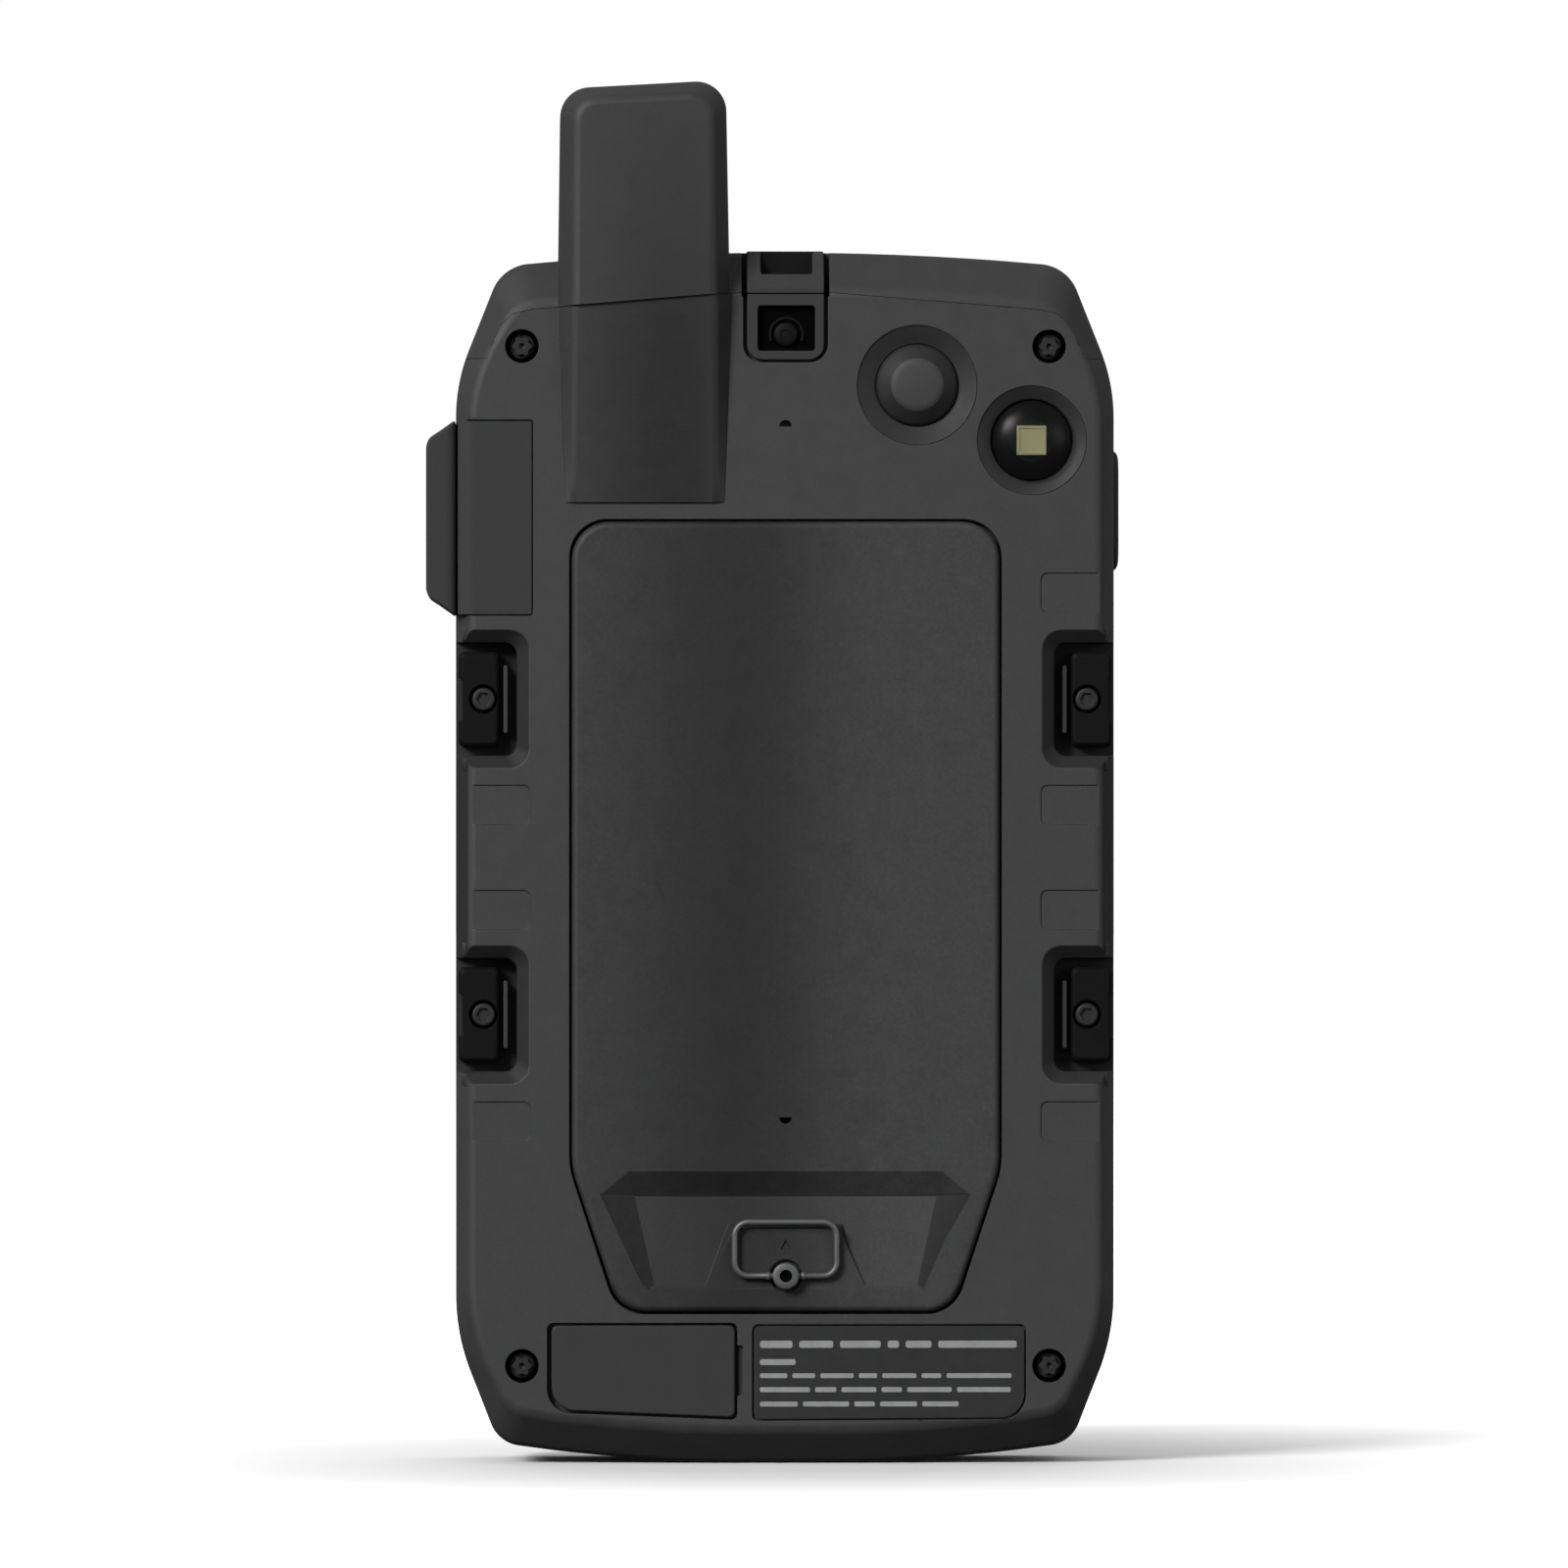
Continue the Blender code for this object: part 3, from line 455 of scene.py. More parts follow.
MATERIALS = {
    "housing_plastic": surface("housing_plastic", grey(0.030), 0.62, grain=0.34, depth=0.02, specular=0.35),
    # The radome and ridge colour carries the painted shade band along X.
    "radome_plastic": surface(
        "radome_plastic", grey(0.026), 0.60, grain=0.28, depth=0.03, specular=0.35, across=RIDGE_PAINTED_SHADE,
        fade=(146.0, 180.0),
    ),
    # Near-black painted shadow for faces in holes and cavities that are only in shade.
    "painted_shadow_black": surface("painted_shadow_black", grey(0.001), 0.7, grain=0.25, depth=0.012, specular=0.02),
    # Darker copy of the housing plastic for dish and dome slopes: painted shade.
    "dish_painted_shade": surface("dish_painted_shade", grey(0.015), 0.6, grain=0.34, depth=0.015, specular=0.3),
    # Darker copy of the housing plastic for recess walls: painted shade.
    "recess_painted_shade": surface("recess_painted_shade", grey(0.015), 0.6, grain=0.34, depth=0.015, specular=0.25),
    # The door's colour carries the painted shade band along X.
    "door_plastic": surface(
        "door_plastic", grey(0.032), 0.62, grain=0.45, depth=0.035, spread=0.2, specular=0.3,
        across=DOOR_PAINTED_SHADE,
    ),
    # Scoop floor: its coarser grain is real, its darker colour and band along X are painted shade.
    "door_recess_painted_shade": surface(
        "door_recess_painted_shade", grey(0.016), 0.68, grain=0.4, depth=0.05, spread=0.3, specular=0.2, across=DOOR_PAINTED_SHADE,
    ),
    "front_plastic": surface("front_plastic", grey(0.016), 0.55, grain=0.3, depth=0.02, specular=0.4),
    "rubber": surface("rubber", grey(0.027), 0.75, grain=0.25, depth=0.015, specular=0.25),
    "black_plastic": surface("black_plastic", grey(0.003), 0.6, grain=0.25, depth=0.012, specular=0.1),
    "label_film": surface("label_film", grey(0.015), 0.5, grain=0.2, depth=0.006, specular=0.35),
    "screen_glass": surface("screen_glass", grey(0.004), 0.1, grain=6.0, depth=0.002, spread=0.05),
    "led_phosphor": surface("led_phosphor", (0.80, 0.78, 0.42), 0.5, grain=0.2, depth=0.01, spread=0.05),
    "black_steel": surface(
        "black_steel", grey(0.022), 0.5, metallic=0.3, grain=0.2, depth=0.01, specular=0.25,
    ),
    "bright_steel": surface(
        "bright_steel", grey(0.10), 0.5, metallic=0.55, grain=0.15, depth=0.006, spread=0.06,
    ),
    "aluminium": surface("aluminium", grey(0.50), 0.4, metallic=1.0, grain=0.4, depth=0.01, spread=0.06),
    "gold_contact": surface(
        "gold_contact", (0.72, 0.52, 0.20), 0.3, metallic=1.0, grain=0.3, depth=0.004, spread=0.06,
    ),
    "board_green": surface(
        "board_green", (0.010, 0.055, 0.030), 0.4, grain=0.6, depth=0.01, mottle=1.2, spread=0.35,
    ),
    "ceramic": surface("ceramic", (0.42, 0.40, 0.36), 0.6, grain=0.2, depth=0.01, spread=0.08),
    "seal_rubber": surface("seal_rubber", grey(0.012), 0.8, grain=0.3, depth=0.01, specular=0.25),
    "battery_wrap": surface("battery_wrap", grey(0.055), 0.45, grain=0.8, depth=0.01, mottle=6.0, spread=0.1),
    "clear_lens": surface("clear_lens", grey(0.006), 0.32, grain=3.0, depth=0.0, spread=0.05, specular=0.3),
    "label_print": surface(
        "label_print", grey(0.23), 0.6, grain=0.15, depth=0.004, spread=0.15, specular=0.2,
    ),
}
MATERIALS["clear_lens"].node_tree.nodes["Principled BSDF"].inputs["Alpha"].default_value = 0.3


# ---- Case ----

def shell_blank(name):
    """The solid that the rear housing and the top cap are both made from, its outer edges eased."""
    rear = (REAR_Y, body_outline(*REAR_EDGE))
    obj = mesh_object(name, [loft([rear, (FULL_Y, body_outline()), (PARTING_Y, body_outline())])])
    ease(obj, 0.9, 5, 14.0)
    return obj


def shell_cavity():
    side, top, bottom = REAR_EDGE
    rear = body_outline(side + 1.6, top + 1.4, bottom + 1.6)
    full = body_outline(WALL, WALL, WALL)
    return loft([(REAR_Y + WALL, rear), (FULL_Y + 1.4, full), (PARTING_Y + 1, full)])


def gasket_groove():
    return ring(body_outline(0.6, 0.6, 0.6), body_outline(1.6, 1.6, 1.6), PARTING_Y - 1.2, PARTING_Y + 1)


def ridge():
    """The ridge below the radome, which sinks into the rear face towards its lower end."""

    def section(share):
        back = REAR_Y - 0.4 - 3.4 * share
        left = RIDGE_LEFT - 1.0 - 1.1 * share
        right = RIDGE_RIGHT + 1.0 + 1.1 * share
        corners = [
            (left - 0.1, REAR_Y + 1.0), (left - 0.1, REAR_Y - 0.3 * share), (RIDGE_LEFT, back),
            (RIDGE_RIGHT, back), (right + 0.1, REAR_Y - 0.3 * share), (right + 0.1, REAR_Y + 1.0),
        ]
        outline = []
        for index, (x, y) in enumerate(corners):
            if index not in (2, 3):
                outline.append((x, y, 0, 0))
                continue
            here = Vector((x, y))
            back_way = Vector(corners[index - 1]) - here
            on_way = Vector(corners[index + 1]) - here
            setback = 0.5 + (RIDGE_SETBACK - 0.5) * share
            outline.append((x, y, setback * math.tan(back_way.angle(on_way) / 2), 6))
        return rounded(outline)

    count = 12
    length = SEAM_Z + 3.0 - RIDGE_BOTTOM
    return loft([(RIDGE_BOTTOM + length * i / count, section(i / count)) for i in range(count + 1)], "Z")


def dish(centre, outer, inner, floor):
    """The conical dish that a dome sits in."""
    rim = REAR_Y + 0.75
    return turned([
        (0, REAR_Y - 1), (outer, REAR_Y - 1), (outer, REAR_Y + 0.02), (outer - 0.3, REAR_Y + 0.08),
        (inner, rim), (inner, floor), (0, floor),
    ], centre, steps=96)


def half_moon(z, low, high, flat_down):
    sign = 1 if flat_down else -1
    outline = []
    for i in range(17):
        turn = math.pi * i / 16
        outline.append((0.78 * math.cos(turn), z + sign * 0.78 * math.sin(turn)))
    return prism(outline, low, high)


def side_outline(y, z, half_y, half_z, radius):
    return rounded_rect((y - half_y, y + half_y), (z - half_z, z + half_z), radius, 10)


def pocket(side, z):
    inner = sorted((side * 35.6, side * (HALF_WIDTH + 2)))
    rim = sorted((side * 33.9, side * (HALF_WIDTH + 2)))
    deep = rounded_rect(inner, (z - 7.5, z + 7.5), 1.6)
    wide = rounded_rect(rim, (z - 9.2, z + 9.2), 2.6)
    return loft([(-7.0, deep), (-11.0, deep), (REAR_Y, wide), (REAR_Y - 1, wide)])


def grip(side, z):
    x = sorted((side * 33.8, side * (HALF_WIDTH + 2)))
    return prism(rounded_rect(x, (z - 2.6, z + 2.6), 0.9), REAR_Y - 1, REAR_Y + 0.16)


def side_groove(side, z):
    """A short groove across the side wall, between the pockets."""
    x = sorted((side * (HALF_WIDTH - 0.45), side * (HALF_WIDTH + 2)))
    return prism(rounded_rect(x, (z - 0.55, z + 0.55), 0.35, 3), -6.5, 3.5)


def usb_outline(grow, left):
    return rounded([
        (-6.7 + grow, 6.2 - grow, 0.8, 6), (-6.7 + grow, 18.4 + grow, 0.8, 6),
        (left, 18.4 + grow, 0.8, 6), (left, 7.2 - grow, 3.2, 10),
    ])


def label_outline(grow):
    return rounded([
        (31.6 + grow, 6.2 - grow, 3.2, 10), (31.6 + grow, 18.3 + grow, 0.8, 6),
        (-4.2 - grow, 18.3 + grow, 0.8, 6), (-4.2 - grow, 6.0 - grow, 0.8, 6),
    ])


def screw_hole(x, z):
    profile = [(0, REAR_Y - 1), (2.2, REAR_Y - 1), (2.2, -10.4), (1.25, -10.4), (1.25, 8.0), (0, 8.0)]
    return turned(profile, (x, z), steps=40)


def near(spot, reach, x, z):
    return math.hypot(x - spot[0], z - spot[1]) < reach


def make_rear_housing():
    rear = shell_blank("rear_housing_moulding")
    join(rear, ridge())
    cut(rear, shell_cavity())
    pad = prism(door_outline(1.8), -11.4, -8.0)
    posts = [cylinder(3.0, -11.2, PARTING_Y, spot, steps=24) for spot in CASE_SCREWS[:2]]
    for side in (-1, 1):
        posts.append(box(sorted((side * 32.1, side * 37.7)), (-11.2, PARTING_Y), (10.9, 16.0)))
    blocks = []
    for side, z in POCKETS:
        x = sorted((side * 33.9, side * (HALF_WIDTH - 0.9)))
        blocks.append(box(x, (-11.3, -3.6), (z - 9.4, z + 9.4)))
    shelf = box((-6.4, 6.4), (-11.4, -3.0), (152.0, 154.5))
    join(rear, pad, shelf, *posts, *blocks)
    bay_tub = box((-27.2, 27.2), (-9.4, 1.0), (42.2, 123.8))
    latch_tub = box((-17.4, 17.4), (-9.4, -4.9), (20.8, 41.2))
    join(rear, bay_tub, latch_tub)
    cut(rear, gasket_groove())
    strap = prism(rounded_rect((-46.0, -33.45), (112.35, 138.25), 0.25, 3), REAR_Y - 1, -11.2)
    cut(
        rear, strap,
        prism(side_outline(SOS_Y, SOS_Z, 4.3, 4.3, 4.2), -46.0, -39.0, "X"),
        prism(side_outline(POWER_Y, POWER_Z, 3.8, 8.3, 3.7), 39.0, 46.0, "X"),
        prism(door_outline(0.3), REAR_Y - 2, LEDGE_Y),
        prism(usb_outline(0.3, -31.55), REAR_Y - 2, -11.0),
        prism(label_outline(0.22), REAR_Y - 2, -11.9),
        half_moon(SOUND_HOLE[1], REAR_Y - 2, -9.0, True),
        *[pocket(side, z) for side, z in POCKETS],
        *[screw_hole(x, z) for x, z in CASE_SCREWS],
    )
    cut(
        rear,
        box((-25.5, 25.5), (-15.0, -0.6), (44.0, 122.0)),
        box((-15.8, 15.8), (-15.0, -6.3), (22.0, 40.0)),
        box((-24.2, -13.8), (-14.0, -9.0), (10.1, 14.9)),
        box((-6.9, -5.7), (-14.0, -11.3), (9.1, 15.7)),
        dish(CAMERA_SPOT, 7.9, 5.46, -11.3),
        dish(TORCH_SPOT, 7.2, 5.45, -11.4),
        cylinder(2.1, 150.0, 156.0, (0.0, -7.8), "Z", 24),
        *[grip(side, z) for side, z in GRIPS],
        *[cylinder(1.1, -8.0, -4.7, (side * INSERT_SCREW_X, z), steps=16) for side, z in POCKETS],
    )
    cut(
        rear, cylinder(2.85, -12.0, -9.0, TORCH_SPOT, steps=48),
        *[side_groove(side, 68.0 + 2.4 * i) for side in (-1, 1) for i in range(11)],
    )
    wide = PORT_HALF + 0.3
    port_slot = rounded([
        (-wide, 145.9, 2.4, 8), (wide, 145.9, 2.4, 8), (wide, 160.0, 0, 0), (-wide, 160.0, 0, 0),
    ])
    cut(rear, prism(port_slot, REAR_Y - 1, -11.2))
    cut(rear, box((-PORT_HALF - 0.5, PORT_HALF + 0.5), (-15.0, -6.2), (154.6, 160.0)))
    ease(rear, 0.12, 2, keep=lambda face: (
        face.normal.y > 0.9 or abs(face.calc_center_median().y / MM - LEDGE_Y) < 0.02
    ))
    cut(rear, seam_region(-SEAM_GAP / 2, 190.0))
    place(rear, "case", "housing_plastic", "rear_housing")
    # The ridge takes the radome's colour, with its painted shade band.
    refinish(rear, "radome_plastic", lambda x, y, z: y < REAR_Y - 0.12 and z > 120.0 and x < 0.0)
    # The dish faces round the camera blank and the torch get a darker colour: painted shade.
    refinish(rear, "dish_painted_shade", lambda x, y, z: y > REAR_Y + 0.03 and (
        near(CAMERA_SPOT, 7.95, x, z) or near(TORCH_SPOT, 7.25, x, z)
    ))
    # Torch cavity, screw counterbores and sound hole get near-black: painted shadow.
    refinish(rear, "painted_shadow_black", lambda x, y, z: (
        y > -11.45 and near(TORCH_SPOT, 5.5, x, z)
        or y > REAR_Y + 0.03 and any(near(spot, 2.3, x, z) for spot in CASE_SCREWS)
        or y > REAR_Y + 0.05 and near(SOUND_HOLE, 1.5, x, z)
    ))
    # Pocket interiors and the grooved side strip get a darker colour: painted shade.
    refinish(rear, "recess_painted_shade", lambda x, y, z: y > REAR_Y + 0.05 and (
        any(abs(x) > 33.4 and y < -4.0 and abs(z - row) < 9.3 for _, row in POCKETS)
        or abs(x) > 42.0 and 69.0 < z < 92.0
    ))


def make_top_cap():
    cap = shell_blank("top_cap_moulding")

    def radome(inset, top):
        return rounded([
            (RADOME_RIGHT + 0.4 - inset, 140.0, 0, 0),
            (RADOME_RIGHT - 0.4 - inset, RADOME_TOP + 0.3 - top, 4.0, 14),
            (RADOME_LEFT + 0.2 + inset, RADOME_TOP - 0.9 - top, 4.0, 14),
            (RADOME_LEFT - 0.35 + inset, 140.0, 0, 0),
        ])

    back = rounded([
        (RIDGE_RIGHT, 140.0, 0, 0),
        (RIDGE_RIGHT - 0.3, RADOME_TOP - 1.6, 3.2, 14),
        (RIDGE_LEFT + 0.2, RADOME_TOP - 2.5, 3.2, 14),
        (RIDGE_LEFT, 140.0, 0, 0),
    ])
    blade = mesh_object("blade", [loft([
        (RADOME_REAR_Y, back),
        (REAR_Y - 0.3, radome(0.0, 0.0)),
        (RADOME_FRONT_Y - 3.0, radome(0.0, 0.0)),
        (RADOME_FRONT_Y, radome(2.0, 1.8)),
    ])])
    ease(blade, RIDGE_SETBACK, 6, 14.0)
    points = [tuple(vertex.co / MM) for vertex in blade.data.vertices]
    faces = [tuple(face.vertices) for face in blade.data.polygons]
    bpy.data.objects.remove(blade)
    join(cap, (points, faces))
    cut(cap, shell_cavity())
    cut(cap, gasket_groove())
    low = SEAM_Z - 0.2
    port_walls = [(-11.6, low), (-11.6, 155.9), (-8.6, 159.3), (-4.6, 159.3), (-4.6, low)]
    join(cap, prism(port_walls, -7.0, 7.0, "X"))
    cut(cap, box((-27.8, -9.8), (-13.8, 3.4), (148.0, 180.0)))
    cut(cap, box((-PORT_HALF - 0.5, PORT_HALF + 0.5), (-15.0, -6.2), (150.0, 165.0)))
    ease(cap, 0.12, 2)
    cut(cap, seam_region(SEAM_GAP / 2, -20.0))
    place(cap, "case", "radome_plastic", "top_cap")


def make_front_housing():
    full = body_outline()
    front = mesh_object("front_housing_moulding", [loft([
        (PARTING_Y + 0.3, full), (FRONT_BEVEL_Y, full), (FRONT_Y, body_outline(*FRONT_EDGE)),
    ])])
    ease(front, 0.6, 4, 14.0)
    cut(front, prism(body_outline(WALL, WALL, WALL), PARTING_Y - 1, 12.6))
    join(front, *[cylinder(2.8, PARTING_Y + 0.5, 13.2, spot, steps=24) for spot in CASE_SCREWS])
    cut(
        front, prism(rounded_rect((-35.8, 35.8), (21.7, 146.3), 6.0, 12), 13.9, 18.0),
        *[cylinder(1.2, PARTING_Y - 1, 11.6, spot, steps=16) for spot in CASE_SCREWS],
        prism(rounded_rect((-6.0, 6.0), (149.6, 151.2), 0.78, 8), 11.0, 18.0),
    )
    cut(front, prism(rounded_rect((-33.8, 33.8), (24.0, 144.0), 4.0, 12), 11.0, 15.0))
    cut(front, *[side_groove_front(side, 68.0 + 2.4 * i) for side in (-1, 1) for i in range(11)])
    ease(front, 0.15, 2)
    place(front, "case", "front_plastic", "front_housing")


def side_groove_front(side, z):
    x = sorted((side * (HALF_WIDTH - 0.4), side * (HALF_WIDTH + 2)))
    return prism(rounded_rect(x, (z - 0.55, z + 0.55), 0.35, 3), 8.0, 12.0)


# ---- Battery door and latch ----

def on_island(x, z):
    """Whether this spot is on the raised part that carries the latch."""
    return z < 32.4 and abs(x) < 11.7 - 0.37 * (z - 22.4)


def finish_scoop(door):
    """A coarser floor, and darker walls, island sides and hole. The darker floor, walls, island sides and
    hole are painted shade.
    """
    door.data.materials.append(MATERIALS["door_recess_painted_shade"])
    door.data.materials.append(MATERIALS["recess_painted_shade"])
    floor, painted_shade_slot = 1, 2
    for face in door.data.polygons:
        x, y, z = face.center / MM
        facing = abs(face.normal.y)
        deep = DOOR_OUTER_Y + 0.12 < y < -11.5
        if deep and 22.4 < z < 36.2 and abs(x) < 24.0 and not on_island(x, z):
            face.material_index = floor if facing > 0.94 else painted_shade_slot
        if y > DOOR_OUTER_Y + 0.3 and 22.5 < z < 32.3 and on_island(x, z) and 0.1 < facing < 0.9:
            face.material_index = painted_shade_slot
        if y > DOOR_OUTER_Y + 0.2 and near(DOOR_HOLE, 1.5, x, z):
            face.material_index = painted_shade_slot


def make_battery_door():
    door = mesh_object("battery_door_panel", [loft([
        (DOOR_OUTER_Y, door_outline(-0.7)),
        (DOOR_OUTER_Y + 0.2, door_outline(-0.28)),
        (DOOR_OUTER_Y + 0.7, door_outline(0.0)),
        (DOOR_INNER_Y, door_outline(0.0)),
    ])])
    join(door, box((-9.0, 9.0), (DOOR_INNER_Y - 0.4, -8.2), (22.6, 34.0)))
    low = DOOR_OUTER_Y - 0.2
    points = [
        (-20.8, low, 39.2), (20.8, low, 39.2), (24.8, low, 35.9), (19.0, low, 22.6), (-19.0, low, 22.6),
        (-24.8, low, 35.9), (-20.0, -11.6, 35.6), (20.0, -11.6, 35.6), (17.4, -13.1, 23.8),
        (-17.4, -13.1, 23.8),
    ]
    faces = [
        (0, 1, 2, 3, 4, 5), (6, 7, 8, 9), (0, 1, 7, 6), (1, 2, 7), (2, 3, 8, 7), (3, 4, 9, 8), (4, 5, 6, 9),
        (5, 0, 6),
    ]
    cut(door, (points, faces))
    join(door, loft([
        (-11.3, [(-11.6, 22.4), (11.6, 22.4), (8.0, 32.2), (-8.0, 32.2)]),
        (DOOR_OUTER_Y + 0.15, [(-10.9, 23.0), (10.9, 23.0), (7.0, 31.2), (-7.0, 31.2)]),
    ]))
    seal_groove = ring(
        rounded_rect((-27.7, 27.7), (41.3, 124.4), 4.2), rounded_rect((-26.1, 26.1), (42.9, 122.8), 2.6),
        DOOR_INNER_Y - 1.0, DOOR_INNER_Y + 1.0,
    )
    stud_hole = [(0, -16.0), (2.1, -16.0), (2.1, -12.5), (1.35, -12.5), (1.35, -7.0), (0, -7.0)]
    cut(
        door, seal_groove, half_moon(DOOR_HOLE[1], -16.0, -9.0, False),
        turned(stud_hole, (0.0, LATCH_Z), steps=40),
    )
    arrow = prism([(-0.62, 28.5), (0.62, 28.5), (0.0, 29.7)], DOOR_OUTER_Y - 1, DOOR_OUTER_Y + 0.27)
    cut(door, arrow)
    ease(door, 0.14, 3, 24.0)
    place(door, "battery_door", "door_plastic", "battery_door")
    finish_scoop(door)


def make_latch():
    centre = (0.0, LATCH_Z)
    stud = mesh_object("latch_stud_turned", [turned([
        (0, -14.6), (0.55, -14.6), (0.75, -14.65), (0.8, -14.87), (0.85, -14.98), (1.5, -15.0),
        (1.68, -14.93),
        (1.75, -14.8), (1.75, -12.85), (1.05, -12.85), (1.05, -8.1), (0, -8.1),
    ], centre, steps=48)])
    cut(stud, cylinder(0.6, -3.0, 3.0, (RING_Y, LATCH_Z), "X", 20))
    place(stud, "latch", "bright_steel", "latch_stud")
    # The stud's dimpled middle gets near-black: painted shadow.
    refinish(stud, "painted_shadow_black", lambda x, y, z: near(centre, 0.8, x, z) and y > -14.9)
    half = RING_WIDTH / 2
    outline = rounded_rect((-half, half), (LATCH_Z, LATCH_Z + RING_HEIGHT), 1.8, 10)
    levels = []
    steps = 16
    count = len(outline)
    for i, (x, z) in enumerate(outline):
        before = Vector(outline[i - 1])
        after = Vector(outline[(i + 1) % count])
        along = (after - before).normalized()
        across = Vector((along.y, -along.x))
        loop = []
        for k in range(steps):
            turn = 2 * math.pi * k / steps
            reach = RING_WIRE * math.cos(turn)
            loop.append((x + across.x * reach, RING_Y + RING_WIRE * math.sin(turn), z + across.y * reach))
        levels.append(loop)
    points = [point for loop in levels for point in loop]
    faces = []
    for i in range(count):
        start = i * steps
        after = (i + 1) % count * steps
        for k in range(steps):
            j = (k + 1) % steps
            faces.append((start + k, start + j, after + j, after + k))
    wire = mesh_object("latch_ring_wire", [(points, faces)])
    join(wire, *[cylinder(0.56, side * 2.05, side * 2.6, (RING_Y, LATCH_Z), "X", 24) for side in (-1, 1)])
    ease(wire, 0.1, 2, 50.0)
    place(wire, "latch_ring", "bright_steel", "latch_ring")


def make_seal():
    seal = mesh_object("battery_door_seal_bead", [ring(
        rounded_rect((-27.4, 27.4), (41.6, 124.1), 3.9), rounded_rect((-26.4, 26.4), (42.6, 123.1), 2.9),
        DOOR_INNER_Y - 0.7, DOOR_INNER_Y + 0.15,
    )])
    ease(seal, 0.25, 4)
    place(seal, "battery_door", "seal_rubber", "battery_door_seal")


# ---- Fasteners and pockets ----

def lobed(radius, depth, lobes=6, steps=72):
    """A six-lobed outline."""
    outline = []
    for i in range(steps):
        turn = 2 * math.pi * i / steps
        reach = radius - depth * (0.5 - 0.5 * math.cos(lobes * turn))
        outline.append((reach * math.cos(turn), reach * math.sin(turn)))
    return outline


def make_case_screws():
    for number, (x, z) in enumerate(CASE_SCREWS, 1):
        screw = mesh_object(f"case_screw_{number}_turned", [turned([
            (0, -11.0), (1.5, -11.0), (1.68, -10.92), (1.7, -10.8), (1.7, -10.5), (0.9, -10.5), (0.9, 11.0),
            (0, 11.0),
        ], (x, z), steps=40)])
        star = [(x + a, z + b) for a, b in lobed(1.34, 0.3)]
        join(screw, prism(star, -11.8, -10.9))
        cut(screw, cylinder(0.4, -13.0, -11.3, (x, z), steps=20))
        ease(screw, 0.05, 2)
        place(screw, "case", "black_steel", f"case_screw_{number}")


def make_pocket_inserts():
    for number, (side, z) in enumerate(POCKETS, 1):
        x = sorted((side * 37.9, side * 43.3))
        insert = mesh_object(f"pocket_insert_{number}_moulding", [loft([
            (-10.2, rounded_rect((x[0] + 0.4, x[1] - 0.4), (z - 5.8, z + 5.8), 0.6)),
            (-9.8, rounded_rect(x, (z - 6.3, z + 6.3), 0.8)),
            (-7.3, rounded_rect(x, (z - 6.3, z + 6.3), 0.8)),
        ])])
        notch = sorted((side * 42.8, side * 45.0))
        cut(
            insert, turned([(0, -11.0), (1.9, -11.0), (1.9, -8.6), (1.1, -8.6), (1.1, -6.0), (0, -6.0)],
                           (side * INSERT_SCREW_X, z), steps=40),
            box(notch, (-11.0, -6.0), (z - 2.8, z + 2.8)),
        )
        ease(insert, 0.12, 3)
        place(insert, "case", "black_plastic", f"pocket_insert_{number}")
        make_insert_screw(number, side * INSERT_SCREW_X, z)


def make_insert_screw(number, x, z):
    screw = mesh_object(f"insert_screw_{number}_turned", [turned([
        (0, -9.95), (1.2, -9.95), (1.42, -9.85), (1.55, -9.6), (1.55, -8.9), (0.8, -8.9), (0.8, -5.0),
        (0, -5.0),
    ], (x, z), steps=40)])
    hexagon = [(x + 0.95 * math.cos(math.pi * i / 3), z + 0.95 * math.sin(math.pi * i / 3)) for i in range(6)]
    cut(screw, prism(hexagon, -11.0, -9.55))
    ease(screw, 0.05, 2)
    place(screw, "case", "black_steel", f"insert_screw_{number}")


def make_pocket_ribs():
    """The slim upright rib beside each insert."""
    for number, (side, z) in enumerate(POCKETS, 1):
        x = sorted((side * 36.75, side * 37.35))
        outline = rounded_rect(x, (z - 4.5, z + 4.5), 0.25, 4)
        rib = mesh_object(f"pocket_rib_{number}", [prism(outline, -9.4, -6.9)])
        ease(rib, 0.12, 3)
        place(rib, "case", "radome_plastic")


# ---- Buttons and covers ----

def make_button(name, body, side, y, z, half_y, half_z, radius, slot):
    proud = side * (HALF_WIDTH + 0.7)
    levels = [
        (proud, -0.9), (proud - side * 0.08, -0.55), (proud - side * 0.25, -0.2), (proud - side * 0.5, 0.0),
        (side * 41.1, 0.0), (side * 41.1, 0.8), (side * 40.4, 0.8),
    ]
    outlines = [(x, side_outline(y, z, half_y + grow, half_z + grow, radius + grow)) for x, grow in levels]
    button = mesh_object(f"{name}_moulding", [loft(outlines, "X")])
    place(button, body, slot, name)


